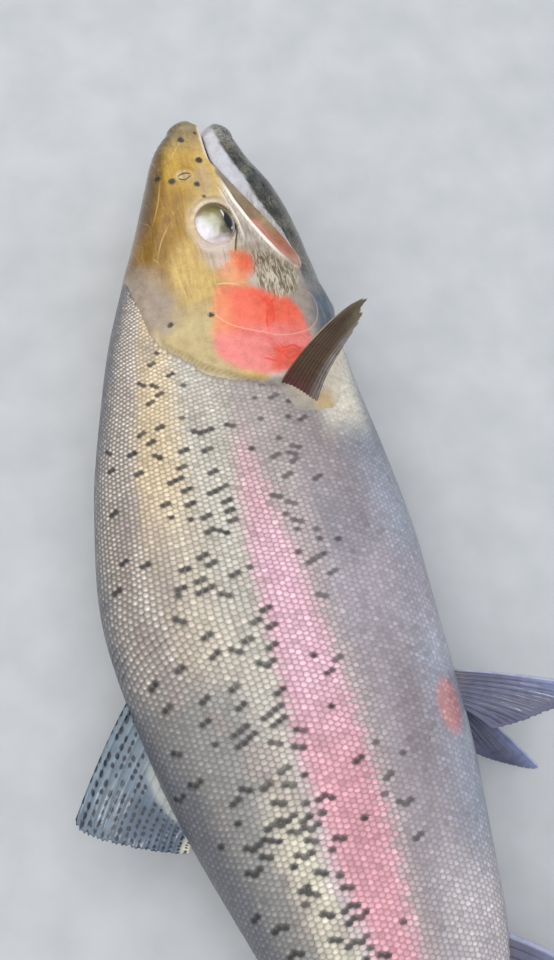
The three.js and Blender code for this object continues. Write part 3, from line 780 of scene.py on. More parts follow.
# %% The head's colours, broad ones first
GOLD_END = [(-40, 90), (66, 60), (66.4, 42), (67, 36), (70, 32.4), (76, 30), (83, 27),
            (90, 25.5), (99, 32), (97, 60), (97, 90), (140, 90), (140, -90), (-40, -90)]
RED_COVER = rounded([(80.6, 9.6), (92.9, 12.6), (103.4, 14), (112.6, 12.4), (120.2, 3),
                     (123.6, -9), (120.4, -19.5), (114, -29), (107, -28), (98, -26.3),
                     (91, -24.6), (85.6, -19.5), (82, -8), (80.4, -0.5), (80.6, 9.6)])[:-1]
FLUSH = [(110.4, -10.9), (112.4, -22.3), (113.4, -28), (120.4, -20.8), (123.4, -13.8), (121.5, -8)]


def gold_paint(s, h, cloud, streak):
    """Gold over the crown and the cheek, brown along the ridge, paler towards the gill cover."""
    back, belly, _ = girth(s)
    rise = h / np.where(h > 0, back, belly)
    tone = layered(
        plain(s, 173, 134, 40),
        (ease(h + 6 * cloud, 19, 8), (212, 184, 112)),
        (0.9 * blob(s, h, (21, 14.5), (12, 8), 0.9), (207, 171, 52)),
        (ease(s + 5 * cloud, 19, 4), (150, 138, 106)),
        (0.8 * blob(s, h, (30, 5.5), (7, 3.5), 0.9), (196, 168, 128)),
        (0.85 * ease(rise + 0.1 * cloud, 0.76, 0.93), (96, 78, 54)),
        (0.8 * blob(s, h, (62, 31), (14, 8), 0.9), (150, 114, 26)),
        (blob(s, h, (74, 18), (17, 9), 0.8, 10), (222, 194, 122)),
        (ease(s + 8 * cloud, 84, 92) * ease(h, 2, 10), (200, 180, 130)),
        (ease(within(s, h, GOLD_END) + 5 * cloud, 5, -5), (168, 152, 138)))
    return tone * (1 + 0.25 * streak * ease(h, 8, 18))[..., None]


def coral_paint(s, h, points, cloud):
    """The gill cover's red: orange above, pink behind, with a flush and fine veins."""
    veins = np.sin(0.9 * h + 2.4 * np.sin(s * 0.11) + 7 * mottle(points, (16, 4, 8), 21))
    return layered(
        plain(s, 250, 114, 88),
        (ease(h, 1, 10), (250, 156, 112)),
        (ease(s + 5 * cloud, 96, 107), (246, 140, 136)),
        (ease(within(s, h, FLUSH) + 2 * cloud, -2, 2) * 0.8, (236, 98, 74)),
        (0.35 * ease(veins, 0.55, 1) * ease(h, -2, -9) * ease(s, 80, 86), (222, 76, 58)))


def bone_paint(s, h, cloud, fine):
    """The upper jaw's plate: grey brown in front, rose behind, with a pale rear rim."""
    lowered = to_route(s, h, MAXILLA_TOP)[0]
    bone = layered(
        plain(s, 150, 138, 118),
        (ease(s, 34, 44), (148, 128, 106)),
        (ease(s + 6 * cloud, 43, 50) * ease(lowered, 2.5, 5), (170, 146, 110)),
        (ease(s + 4 * cloud, 47, 51) * ease(lowered, 5, 2.5), (216, 146, 130)),
        (ease(s + 6 * cloud, 54, 60) * ease(lowered, 2, 4), (184, 118, 92)),
        (0.6 * ease(fine, 0.08, 0.2) * ease(s, 50, 58), (150, 110, 92)),
        (ease(s + 3 * cloud, 65, 70), (196, 158, 142)),
        (ease(within(s, h, MAXILLA), 1.5, 0.5) * ease(s, 62, 68), (222, 196, 176)))
    return bone * (1 + 0.3 * fine)[..., None]


# %% The whole head, and the lower jaw
def head_paint(s, h, points):
    """Tone of the head: one coat of paint after another, each with its own outline."""
    cloud = mottle(points, (6, 6, 6), 11) - 0.5
    fine = mottle(points, (1.6, 1.6, 1.6), 12) - 0.5
    streak = mottle(points, (14, 2.2, 3), 13) - 0.5
    reach, away = eye_reach(s, h), behind_eye(s, h)
    below = ease(h + 0.05 * s, 2, -3)
    tone = layered(
        gold_paint(s, h, cloud, streak),
        # round the eye
        (ease(reach, 1.7, 1.3) * ease(s, 72, 60), (216, 192, 150)),
        (ease(np.abs(reach - 1.15), 0.12, 0.04) * (1 - away) * 0.9, (226, 212, 196)),
        (ease(np.abs(reach - 1.36), 0.08, 0.02) * (1 - away) * 0.5, (168, 140, 92)),
        (blob(s, h, (62, 5.5), (11, 7.5), 0.7), (216, 200, 190)),
        # cheek and throat
        (below * ease(s, 26, 36), (206, 200, 196)),
        (below * (0.4 + fine) * ease(s, 50, 62), (186, 172, 156)),
        (ease(h + 3 * cloud, -27, -34), (134, 134, 138)),
        (blob(s, h, (93, -27), (13, 9), 0.7, 10), (172, 160, 152)),
        # dark blue grey of the throat: partly the membrane's own colour, partly painted shade under the
        # head
        (ease(h + 4 * cloud, -29, -37) * ease(s, 78, 88), (92, 106, 124)),
        (ease(within(s, h, WRINKLES) + 2 * cloud, -2.5, 2), (164, 154, 126)))
    red = ease(within(s, h, RED_COVER) + 2 * cloud, -1.8, 1.8)
    tone = layered(
        over(tone, coral_paint(s, h, points, cloud), red),
        (0.8 * blob(s + 4 * cloud, h, (75.5, 1.5), (6, 6.5), 0.9), (242, 164, 124)),
        (0.9 * blob(s + 6 * cloud, h + 5 * fine, (70.8, -3.8), (6.6, 6), 0.9), (248, 142, 104)),
        (0.8 * blob(s + 3 * fine, h, (70.4, -5.2), (3.8, 3.6), 1.0), (252, 112, 80)))
    plate = ease(within(s, h, MAXILLA), -0.4, 0.4)
    pit = np.hypot((s - NOSTRIL[0]) / NOSTRIL_SIZE[0], (h - NOSTRIL[1]) / NOSTRIL_SIZE[1])
    return layered(
        over(tone, bone_paint(s, h, cloud, fine), plate),
        # a dark ring just inside the socket's rim: painted shade where the skin laps over the ball
        (0.85 * ease(np.abs(reach - 0.97), 0.08, 0.02) * (1 - away), (78, 66, 48)),
        (ease(pit, 1.3, 0.9) * 0.9, (214, 196, 150)),
        (ease(h - lip_edge(s), 1.4, 0.3) * ease(s, 22, 17), (236, 222, 204)))


def jaw_paint(s, h, points):
    """Tone of the lower jaw: grey and mottled, paler at its tip and throat."""
    cloud = mottle(points, (5, 5, 5), 31) - 0.5
    fine = mottle(points, (1.5, 1.5, 1.5), 32) - 0.5
    tone = layered(
        plain(s, 100, 102, 98),
        (ease(cloud, 0, 0.25), (70, 72, 76)),
        (ease(cloud, 0, -0.3), (136, 134, 124)),
        (0.7 * ease(s, 16, 4), (176, 176, 172)),
        (ease(h, -30, -44), (150, 150, 150)))
    return tone * (1 + 0.5 * fine)[..., None]


# %% Painting the skin
HEAD_SPOTS = [  # along, height, radius
    (10, 10.8, 1.5), (20.5, 5.4, 1.6), (29.2, 18, 1.55), (31.8, 8.4, 1.4), (26.4, 22.8, 1.2),
    (7.4, 4.4, 0.9), (37.6, 6.4, 0.9), (92.9, 13.1, 1.5), (94.9, 29.6, 1.4),
]
s, h = net[..., 0], net[..., 1]
in_row = np.arange(len(net))
stir = 2 * mottle(net, (3, 3, 3), 41) - 1
head_area = ease(within(s, h, HEAD_OUTLINE), -0.5, 0.5)
bare = ease(s, 133, 118) * (1 - head_area)
tone = layered(
    body_paint(s, h, stir, net)[1],
    (bare * ease(h, 0, 12), (204, 186, 150)),
    (ease(s, 150, 124) * ease(h, -8, -22), (232, 222, 206)),
    (0.8 * blob(s, h, (138, -29), (5, 4.5), 0.9, 20), (206, 176, 122)))
tone = over(tone, head_paint(s, h, net), head_area)
on_jaw = np.zeros(s.shape)
on_jaw[INSIDE:INSIDE + FAN + 1, QUARTER + 1:] = 1
on_jaw = on_jaw * ease(s, 84, 70) * (within(s, h, MAXILLA) < 0)
on_jaw[:, QUARTER + 1:] *= ease(np.arange(QUARTER), 0, 5)
tone = over(tone, jaw_paint(s, h, net), on_jaw)
band_edge = smooth_curve(
    [-3, 4.5, 13.5, 20.5, 27, 32, 36.5, 40.5, 44.4, 49.9, 54, 60, 66],
    [-3.4, -4.4, -6.6, -9.2, -12.8, -14.9, -16.5, -18.7, -20.7, -23.9, -26.4, -29.8, -31.4])
lip_rows = np.zeros(s.shape)
lip_rows[:INSIDE + BAND, QUARTER + 1:] = 1
lip_rows = lip_rows * ease(h - band_edge(s) + 1.2 * (mottle(net, (2, 2, 2), 51) - 0.5), -0.5, 0.5)
tone = layered(
    tone,
    (lip_rows, (206, 208, 220)),
    (lip_rows * ease(s, 9, 2) * 0.6, (150, 148, 146)),
    (ease(in_row, INSIDE, INSIDE - 2)[:, None] + 0 * s, (208, 178, 176)),
    (ease(in_row, INSIDE - 3, INSIDE - 8)[:, None] + 0 * s, (120, 70, 70)))
print("tone of the skin, mean linear light:", tone.mean((0, 1)).round(3))

# %% Fine lines of the head
spot = np.min([np.hypot(s - a, h - b) - r for a, b, r in HEAD_SPOTS], 0)

LINES = [  # route, half width, paint, strength, share over which each end fades
    (PREOPERCLE, 0.36, (252, 196, 172), 0.35, 0.15), (EYE_SEAM, 0.4, (238, 206, 160), 0.5, 0.3),
    (MAXILLA_TOP, 0.62, (244, 232, 218), 1.0, 0.25),
    (CHEEK_RIDGE, 0.62, (232, 220, 204), 0.85, 0.25),
    # dark line along the eye's lower rim: painted shade in the crease
    (SOCKET_LINE, 0.5, (46, 38, 32), 0.9, 0.15),
    # pale gold along the head's canals: partly the canals' own colour, partly painted highlight on the
    # wet skin
    *[(canal, 0.28, (226, 194, 124), 0.4, 0.4) for canal in CANALS],
    *[(fold, 0.35, (158, 140, 122), 0.55, 0.3) for fold in EYE_FOLDS],
    *[(streak, 0.5, (228, 62, 38), 0.75, 0.2) for streak in STREAKS],
]


def nearest_line(s, h):
    """For the nearest line of the list: distance in half widths, how much it shows, its paint."""
    best, line, shows = np.full(s.shape, 1e9), np.full(s.shape, 9.0), np.zeros(s.shape)
    colour = np.zeros(s.shape + (3,))
    for route, half, mixed, strength, fade in LINES:
        far, share = beside(s, h, route)
        nearer = np.abs(far) - half < best
        best = np.where(nearer, np.abs(far) - half, best)
        line = np.where(nearer, far / half, line)
        ends = ease(share, 0, fade) * ease(share, 1, 1 - fade)
        shows = np.where(nearer, strength * ends * ease(np.abs(far), half + 2.2, half + 1.2), shows)
        colour = np.where(nearer[..., None], paint(*mixed), colour)
    return line, shows, colour


# %% What the skin's finish reads from its mesh
line, line_shows, line_tone = nearest_line(s, h)
line_shows = line_shows * head_area * (1 - on_jaw)
gold = ease(h, 2, 10) * ease(within(s, h, GOLD_END), -4, 4) * (1 - ease(s, 84, 96)) * head_area
gold = gold * ease(eye_reach(s, h), 1.3, 1.7)
wrinkled = ease(within(s, h, WRINKLES), -2.5, 1.5) * (1 - on_jaw)
cheek_bone = ease(h, 0, -4) * ease(s, 30, 40) * ease(s, 78, 66) * head_area
cheek_bone = cheek_bone * (within(s, h, MAXILLA) < 0)
skin_colours = {"tone": tone, "line_tone": line_tone}
skin_numbers = {"spot": spot, "line": line, "line_shows": line_shows, "gold": gold,
                "wrinkled": wrinkled, "cheek_bone": cheek_bone, "jaw": on_jaw * (1 - lip_rows),
                "along": s, "height": h}
skin = new_piece(
    "skin", skin_points, skin_quads, skin_corners,
    colours={name: both_sides(values).reshape(-1, 3) for name, values in skin_colours.items()},
    numbers={name: both_sides(values).ravel() for name, values in skin_numbers.items()})
print("skin's attributes:", [*skin_colours, *skin_numbers])

# %% [markdown]
# ## Materials
# Every finish is a small tree of nodes: the tone painted on the piece, broken up by noise in the
# piece's own coordinates, and one glossy shader, since a trout is wet and slimy all over.

# %% Building a material
def rgba(red, green, blue):
    """A display colour as a shader's colour."""
    return (*paint(red, green, blue), 1.0)


class Finish:
    """A material with one glossy shader, and short ways to add and join nodes."""

    def __init__(self, name, **constants):
        self.material = bpy.data.materials.new(name)
        self.material.use_nodes = True
        self.nodes, self.links = self.material.node_tree.nodes, self.material.node_tree.links
        self.shader = self.nodes["Principled BSDF"]
        for key, value in constants.items():
            self.shader.inputs[key.replace("_", " ")].default_value = value

    def join(self, socket, value):
        """Gives a socket a node's output, a plain value, or a display colour of three numbers."""
        if isinstance(value, bpy.types.NodeSocket):
            self.links.new(value, socket)
        else:
            socket.default_value = rgba(*value) if isinstance(value, tuple) else value

    def add(self, kind, inputs=None, **settings):
        """A node of a kind, with its settings made and its inputs joined."""
        node = self.nodes.new(kind)
        for key, value in settings.items():
            setattr(node, key, value)
        for key, value in (inputs or {}).items():
            self.join(node.inputs[key], value)
        return node

    def attribute(self, name, output="Fac"):
        """A number, or with output "Color" a colour, that the mesh holds at each point."""
        return self.add("ShaderNodeAttribute", attribute_name=name).outputs[output]

    def tone(self):
        """The colour painted on the mesh."""
        return self.attribute("tone", "Color")

    def noise(self, scale, detail=3, vector=None, distortion=0.0):
        """Noise from 0 to 1 in the piece's own coordinates, or in others given as vector."""
        place = vector or self.add("ShaderNodeTexCoord").outputs["Object"]
        return self.add("ShaderNodeTexNoise", {
            "Scale": scale, "Detail": detail, "Distortion": distortion, "Vector": place}).outputs["Fac"]

    def measured_noise(self, per_along, per_height, detail, distortion):
        """Noise in the body's own measures, so that its marks can run along the body."""
        place = self.add("ShaderNodeCombineXYZ", {
            "X": self.times(self.attribute("along"), per_along),
            "Y": self.times(self.attribute("height"), per_height)}).outputs[0]
        return self.noise(1.0, detail, place, distortion)

    def between(self, value, low, high, to_low=0.0, to_high=1.0):
        """The value spread evenly, so that low gives to_low and high gives to_high."""
        return self.add("ShaderNodeMapRange", {
            "Value": value, "From Min": low, "From Max": high,
            "To Min": to_low, "To Max": to_high}).outputs["Result"]

    def blend(self, factor, first, second, kind="MIX"):
        """First at factor 0, second at 1; of kind "MULTIPLY", first times second at 1."""
        node = self.add("ShaderNodeMix", data_type="RGBA", blend_type=kind)
        for socket, value in ((0, factor), (6, first), (7, second)):
            self.join(node.inputs[socket], value)
        return node.outputs[2]

    def breakup(self, tone, noise, low, high, dark, pale=(255, 255, 255), share=1.0):
        """The tone times a colour from dark to pale, as the noise goes from low to high."""
        veil = self.blend(self.between(noise, low, high), dark, pale)
        return self.blend(share, tone, veil, "MULTIPLY")

    def maths(self, operation, first, second):
        """One sum with two terms, which may be outputs or plain numbers."""
        return self.add("ShaderNodeMath", {0: first, 1: second}, operation=operation).outputs[0]

    def plus(self, first, second):
        return self.maths("ADD", first, second)

    def times(self, first, second):
        return self.maths("MULTIPLY", first, second)

    def unsigned(self, value):
        """The value without its sign."""
        return self.maths("ABSOLUTE", value, 0)

    def frayed(self, distance, noise, most):
        """A distance to an edge, which the noise moves in or out by up to most."""
        return self.plus(distance, self.between(noise, 0, 1, -most, most))

    def set(self, socket, value):
        """Joins an output to the glossy shader."""
        self.links.new(value, self.shader.inputs[socket])

    def bump(self, height, strength, distance):
        """Bumps shaded into the surface; distance is their height in metres."""
        node = self.add("ShaderNodeBump", {
            "Height": height, "Strength": strength, "Distance": distance})
        self.set("Normal", node.outputs["Normal"])


print("white as a shader's colour:", rgba(255, 255, 255))


# %% The skin's finish
def nostril_slits(finish):
    """1 in the two dark slits on each side of the nostril's flap, in the body's own measures."""
    across = finish.plus(finish.attribute("height"), -NOSTRIL[1])
    along = finish.maths("SUBTRACT", finish.attribute("along"), finish.times(across, 0.15))
    along = finish.plus(along, -NOSTRIL[0])
    bow = finish.times(finish.times(across, across), 0.16)
    off_flap = finish.plus(finish.unsigned(along), finish.plus(bow, -1.45))
    thin = finish.between(finish.unsigned(off_flap), 0.5, 0.15)
    short = finish.between(finish.unsigned(across), 2.9, 2.2)
    return finish.times(thin, short)


def skin_finish():
    """The tone painted on the mesh, under the fine texture of each region of the head."""
    finish = Finish("wet_skin", Roughness=0.3, IOR=1.38, Coat_Weight=0.35, Coat_Roughness=0.12)
    fine, broad = finish.noise(1400), finish.noise(260, 4)
    tone = finish.breakup(finish.tone(), fine, 0.3, 0.7, (236, 232, 227), (255, 255, 252))
    tone = finish.breakup(tone, broad, 0.35, 0.65, (222, 216, 206), share=0.6)
    # streaks and pale threads in the gold
    gold = finish.attribute("gold")
    streak = finish.measured_noise(0.07, 0.6, 3, 0.9)
    streaked = finish.breakup(tone, streak, 0.32, 0.68, (226, 214, 196), (255, 253, 250))
    tone = finish.blend(gold, tone, streaked)
    wisp = finish.measured_noise(0.05, 0.3, 1, 1.2)
    thread = finish.between(finish.unsigned(finish.plus(wisp, -0.5)), 0.014, 0.0)
    tone = finish.blend(finish.times(thread, finish.times(gold, 0.2)), tone, (240, 212, 150))
    # fibres of the wrinkled cheek, strands of the cheek bone, speckles of the jaw
    wrinkled = finish.attribute("wrinkled")
    fibre = finish.measured_noise(0.15, 0.5, 2, 1.8)
    fibres = finish.blend(finish.between(fibre, 0.4, 0.6), (112, 98, 80), (208, 196, 174))
    tone = finish.blend(finish.times(wrinkled, 0.85), tone, fibres)
    strand = finish.measured_noise(0.16, 1.1, 3, 0.9)
    strands = finish.breakup(tone, strand, 0.36, 0.64, (214, 204, 192))
    tone = finish.blend(finish.attribute("cheek_bone"), tone, strands)
    speckled = finish.breakup(tone, finish.noise(900, 4), 0.4, 0.62, (120, 122, 124))
    tone = finish.blend(finish.times(finish.attribute("jaw"), 0.7), tone, speckled)
    # spots, nostril and drawn lines
    spots = finish.frayed(finish.attribute("spot"), fine, 0.4)
    tone = finish.blend(finish.between(spots, 0.3, -0.5), tone, (50, 38, 26))
    tone = finish.blend(nostril_slits(finish), tone, (74, 56, 32))
    wavering = finish.frayed(finish.unsigned(finish.attribute("line")), broad, 0.35)
    drawn = finish.times(finish.between(wavering, 1.15, 0.55), finish.attribute("line_shows"))
    tone = finish.blend(drawn, tone, finish.attribute("line_tone", "Color"))
    finish.set("Base Color", tone)
    finish.set("Roughness", finish.between(broad, 0.3, 0.7, 0.22, 0.4))
    height = finish.plus(finish.times(fine, 0.1), finish.times(broad, 0.25))
    for mark, mask, much in ((fibre, wrinkled, 1.0), (streak, gold, 0.3)):
        height = finish.plus(height, finish.times(mark, finish.times(mask, much)))
    finish.bump(height, 0.5, 0.0007)
    return finish.material


skin.data.materials.append(skin_finish())
FLESH = ["head", "lower_jaw", "maxilla_right", "maxilla_left", "gill_cover_right",
         "gill_cover_left", "trunk_front", "trunk_rear", "tail_stalk"]
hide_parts(*FLESH)
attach(skin, "root")


# %% The scales' finish
def scale_finish():
    """Each scale's tone, with the painted highlight in its middle, hardly broken up, under a gloss that
    varies from place to place.
    """
    finish = Finish("scales", Roughness=0.4, IOR=1.38, Coat_Weight=0.15, Coat_Roughness=0.15)
    fine = finish.noise(900, 2)
    tone = finish.breakup(finish.tone(), fine, 0.3, 0.7, (190, 186, 180), share=0.35)
    finish.set("Base Color", tone)
    finish.set("Roughness", finish.between(finish.noise(180, 3), 0.3, 0.7, 0.32, 0.5))
    finish.bump(fine, 0.3, 0.0001)
    return finish.material


SCALE_FINISH = scale_finish()
print("finishes so far:", [material.name for material in bpy.data.materials])

# %% [markdown]
# ## Scales
# A trout has small scales in rows: each is a thin plate rooted under the one before it, with a
# rounded rear edge that stands free. Modelling one and copying it would leave all of them alike,
# so a ring of points describes one plate, and whole arrays of places, sizes and turns make some
# twenty thousand closed plates at once. The rows follow the lateral line, every other row is
# half a step back, those of the back slant forward, and the plates shrink towards the nape and
# the tail. The plates are shaded flat, so that each catches the light by itself.
# The bright middle of each plate is partly its own silver and partly painted highlight.

# %% The scaled part of the flank, spread flat
SCALE = {"along": 2.26, "around": 2.42,  # from one to the next in a row, and from row to row
         "root": 2.6, "free": 1.36, "half": 1.78, "tilt": 0.03}
scale_size = smooth_curve([60, 90, 130, 170, 240, 330, 400, 440, 470],
                          [0.74, 0.82, 0.92, 0.98, 1.0, 0.95, 0.8, 0.66, 0.58])
SCALED = [(64, 95), (66, 44), (69, 42), (78.4, 41.9), (88.4, 39.7), (97, 37.2), (102.5, 36),
          (107.5, 32), (113.5, 25.5), (119, 19), (122.6, 12), (125.2, 5), (128.2, -4),
          (130, -11), (139, -16), (142, -26), (138, -36), (124, -40), (112, -46), (106, -60),
          (106, -95), (466, -95), (466, 95)]
TABLE_STEP = 2.0
TABLE_ALONG = np.arange(56, 474, TABLE_STEP)
TABLE_SHARE = np.linspace(0, 1, 161)
OVER_EDGE = 1.1  # how far past the ridge or keel a scale may be rooted, in its own size


def flank_table(sign):
    """Heights and sides by (along, share of the arc from the lateral line to the mid-line)."""
    s = TABLE_ALONG[:, None]
    turn = np.sin(np.linspace(0, np.pi / 2, 240))[None]
    line = lateral_line(s)
    top = back_at(s) if sign > 0 else -belly_at(s)
    height = line + (top - line) * turn
    return by_length(np.stack([height, flank(s + 0 * height, height)], -1), TABLE_SHARE[None])


tables = {sign: flank_table(sign) for sign in (1, -1)}


def on_flank(s, arc):
    """Body point at an arc length above (+) or below (-) the lateral line; also if it exists."""
    found, fits = np.zeros(s.shape + (3,)), np.zeros(s.shape, bool)
    for sign, (table, length) in tables.items():
        most = np.interp(s, TABLE_ALONG, length)
        share = np.abs(arc) / most
        row = np.clip((s - TABLE_ALONG[0]) / TABLE_STEP, 0, len(table) - 1.001)
        column = np.clip(share, 0, 1) * (len(TABLE_SHARE) - 1.001)
        i, j = row.astype(int), column.astype(int)
        fi, fj = (row - i)[..., None], (column - j)[..., None]
        at_j, at_next = (mix(table[i, k], table[i + 1, k], fi) for k in (j, j + 1))
        here = (arc >= 0) if sign > 0 else (arc < 0)
        found[here] = np.concatenate([s[..., None], mix(at_j, at_next, fj)], -1)[here]
        fits |= here & (np.abs(arc) < most + OVER_EDGE * scale_size(s))
    found[..., 2] *= stalk_end(found[..., 0])
    return found, fits


print("flank's depth over its curve:", [float(length.max().round(1)) for _, length in tables.values()])

# %% The lattice of scales
def step_along(s):
    """Distance from a scale to the next in its row: they are closer packed in front."""
    return SCALE["along"] * scale_size(s) * (0.88 + 0.16 * ease(s, 190, 240))


def row_apart(s, row):
    """Distance between rows: above the line and in front they fan out with the body's depth."""
    _, length = tables[1]
    fanned = np.interp(s, TABLE_ALONG, length) / length.max()
    above = mix(fanned, scale_size(s), ease(s, 190, 230)) * (1.07 + 0.06 * hump(s - 215, 14))
    return SCALE["around"] * np.where(row > 0, above, scale_size(s))


fine_along = np.arange(60, 468, 0.5)
step_count = np.cumsum(0.5 / step_along(fine_along))
columns = int(step_count[-1]) + 12  # a few more, as the slant moves the rows of the back forward
rows = np.arange(-48, 49)
row_grid, column_grid = np.meshgrid(rows, np.arange(columns), indexing="ij")
counted = column_grid + 0.5 * (row_grid % 2)
scale_along = np.interp(counted, step_count, fine_along)
slant = 0.24 * np.clip(row_grid - 2, 0, None) * ease(scale_along, 252, 196)
scale_along = scale_along - slant * step_along(scale_along)
print("lattice:", len(rows), "rows of", columns, "scales a side")


# %% Dark spots
def spot_density(s, h):
    """Share of the possible places that carry a dark spot."""
    rise = flank_share(s, h)
    above = ease(h, band_top(s) - 2, band_top(s) + 2) * ease(s, 128, 140)
    near_band = ease(rise, 0.66, 0.4) * (0.6 + 0.4 * ease(s, 180, 225))
    by_ridge = ease(rise, 0.3, 0.5) * ease(rise, 0.97, 0.85) * (0.16 + 0.3 * ease(s, 225, 290))
    front = ease(s, 100, 108) * ease(s, 150, 136) * ease(rise, 0.1, 0.25) * ease(rise, 0.8, 0.6)
    in_band = ease(h, band_bottom(s) - 2, band_bottom(s)) * ease(h, band_top(s) + 2, band_top(s))
    band = in_band * (0.1 + 0.65 * ease(h, band_top(s) - 5.5, band_top(s) - 1) * ease(s, 180, 215))
    low = ease(h, band_bottom(s) + 1, band_bottom(s) - 3) * ease(rise, -0.52, -0.3)
    low = low * ease(s, 126, 134) * (0.25 + 0.6 * ease(s, 250, 190))
    return np.maximum.reduce([above * near_band, above * by_ridge, 0.8 * front, band, low])


NEARBY = [(-2, 0), (-1, -1), (-1, 0), (-1, 1), (0, -1), (0, 1), (1, -1), (1, 0), (1, 1), (2, 0)]


def ink_scales(seed, points):
    """How dark each scale is: a spot starts on one scale, apart from the others, and mostly
    takes in one or both of the scales beside it, so that it makes a small wing or a chevron."""
    chance = np.random.default_rng(seed)
    value = chance.random(row_grid.shape)
    near = [np.roll(value, step, (0, 1)) for step in NEARBY]
    s, h = points[..., 0], points[..., 1]
    crowded = ease(s, 255, 290) * ease(np.abs(flank_share(s, h) - 0.26), 0.24, 0.16)
    odd = (row_grid % 2).astype(bool)
    lowest = np.where(crowded > 0.5, np.min(near[1:-1], 0), np.min(near, 0))
    starts = (value < lowest) & (chance.random(value.shape) < spot_density(s, h))
    ink = starts * (0.85 + 0.15 * chance.random(value.shape))
    spreads = chance.random(value.shape)
    upper_part = flank_share(s, h) > 0.05
    lean = chance.random(value.shape)
    for side, least, most, forward in ((1, 0.0, 0.78, 0.24), (-1, 0.66, 0.9, 0.76)):
        first = least * np.where(s > 275, 0.6, 1)
        last = first + (most - least) * np.where(upper_part, 1, 0.6)
        spread = starts & (spreads >= first) & (spreads < last)
        later = np.where(lean < np.where(s > 262, 0.5, forward), 0, 1)
        for step in (0, 1):
            chosen = spread & (later == step)
            reach_odd = np.roll(chosen & odd, (side, step), (0, 1))
            reach_even = np.roll(chosen & ~odd, (side, step - 1), (0, 1))
            ink = np.maximum(ink, 0.94 * (reach_odd | reach_even))
    return ink * mix(0.8, 1.0, ease(h, band_bottom(s) - 4, band_bottom(s) + 2))


# %% One scale: a middle point, an inner ring and a rim
RING = 10
ring_angle = np.arange(RING) / RING * 2 * np.pi
rearwards, sideways = np.cos(ring_angle), np.sin(ring_angle)
outer_u = np.where(rearwards > 0, SCALE["free"], SCALE["root"]) * rearwards
outer = np.stack([outer_u, SCALE["half"] * sideways * (1 - 0.12 * (rearwards < -0.5))], 1)
middle = np.stack([0.25 + 0.5 * rearwards, 0.74 * sideways], 1)
PLAN = np.concatenate([[[0.25, 0]], middle, outer])
DOME = np.concatenate([[0.05], np.full(RING, 0.04), np.zeros(RING)])
RIM = np.concatenate([[0], np.full(RING, 0.2), np.full(RING, 1.0)])
ON_RING = np.concatenate([[0], np.ones(RING), np.zeros(RING)])
LOBE = {"along": 0.92, "around": 1.5, "behind": 0.2}  # half sizes of one lobe of a dark spot


def scale_faces():
    """Triangles of one plate: a flat underside, a fan and a ring of pairs."""
    i = np.arange(RING)
    n = (i + 1) % RING
    fan = np.stack([0 * i, 1 + i, 1 + n], 1)
    band = np.concatenate([np.stack([1 + i, 1 + RING + i, 1 + RING + n], 1),
                           np.stack([1 + i, 1 + RING + n, 1 + n], 1)])
    k = np.arange(1, RING - 1)
    under = np.stack([1 + RING + 0 * k, 1 + RING + k + 1, 1 + RING + k], 1)
    return np.concatenate([under, fan, band])


plate = scale_faces()
print("one scale:", len(PLAN), "points,", len(plate), "triangles")

# %% All scales of a flank at once
def spread_ink(ink, size, plan):
    """Ink at each point of each plate: the darkest of the lobes on it and on its neighbours.
    A lobe is an ellipse round its own scale, so that lobes side by side run together."""
    dark = np.zeros(plan.shape[:-1])
    thick = size * (1 + 0.2 * ease(scale_along, 262, 300))
    for up in (-1, 0, 1):
        half_step = 0.5 * ((row_grid + up) % 2 - row_grid % 2)
        for on in (-1, 0, 1):
            lobe = np.roll(ink, (-up, -on), (0, 1))[..., None]
            u = plan[..., 0] - ((on + half_step) * step_along(scale_along) + LOBE["behind"])[..., None]
            w = plan[..., 1] - (up * SCALE["around"] * size)[..., None]
            reach = np.hypot(u / LOBE["along"], w / LOBE["around"]) / thick[..., None]
            dark = np.maximum(dark, lobe * ease(reach, 1.2, 0.82))
    return dark


def root_scales(chance, seed):
    """Where each scale is rooted, its unit directions rearwards, round the body and out, its arc
    from the lateral line, and whether it is one of the coat's. Slow noise and a little chance
    bend and loosen the rows."""
    arc = row_grid * row_apart(scale_along, row_grid)
    lattice = np.stack([scale_along, arc, 0 * arc], -1)
    arc = arc + 1.5 * (mottle(lattice, (24, 15, 9), seed + 2) - 0.5) * ease(np.abs(arc), 0, 12)
    s = scale_along + 1.8 * (mottle(lattice, (17, 13, 9), seed + 3) - 0.5)
    s = s + 0.1 * chance.standard_normal(arc.shape)
    arc = arc + 0.09 * chance.standard_normal(arc.shape)
    root, fits = on_flank(s, arc)
    fits &= within(root[..., 0], root[..., 1], SCALED) > 0
    step = 0.8
    wider = 1.2  # more than a row's reach over the ridge or keel, where on_flank() stands still
    ahead = on_flank(s + step, arc)[0] - on_flank(s - step, arc)[0]
    round_body = on_flank(s, arc + wider)[0] - on_flank(s, arc - wider)[0]
    for way in (ahead, round_body):
        way /= np.maximum(np.linalg.norm(way, axis=-1, keepdims=True), 1e-9)
    out = np.cross(round_body, ahead)
    out *= np.where(out[..., 2:] < 0, -1, 1)
    return root, ahead, round_body, out, arc, fits


print("a scale is", round(SCALE["root"] + SCALE["free"], 2), "mm long, one every", SCALE["along"], "mm")

# %% Laying the scales
ROOT_DEPTH = 0.32  # of a plate's middle under the plain net
LOOSE = 0.08  # how far a scale is turned in its place, in radians
SPOT_INK = (40, 39, 40)
MAP = {"from": 60, "along": 410, "around": 220, "patch": 0.003}  # patch: a scale's width there


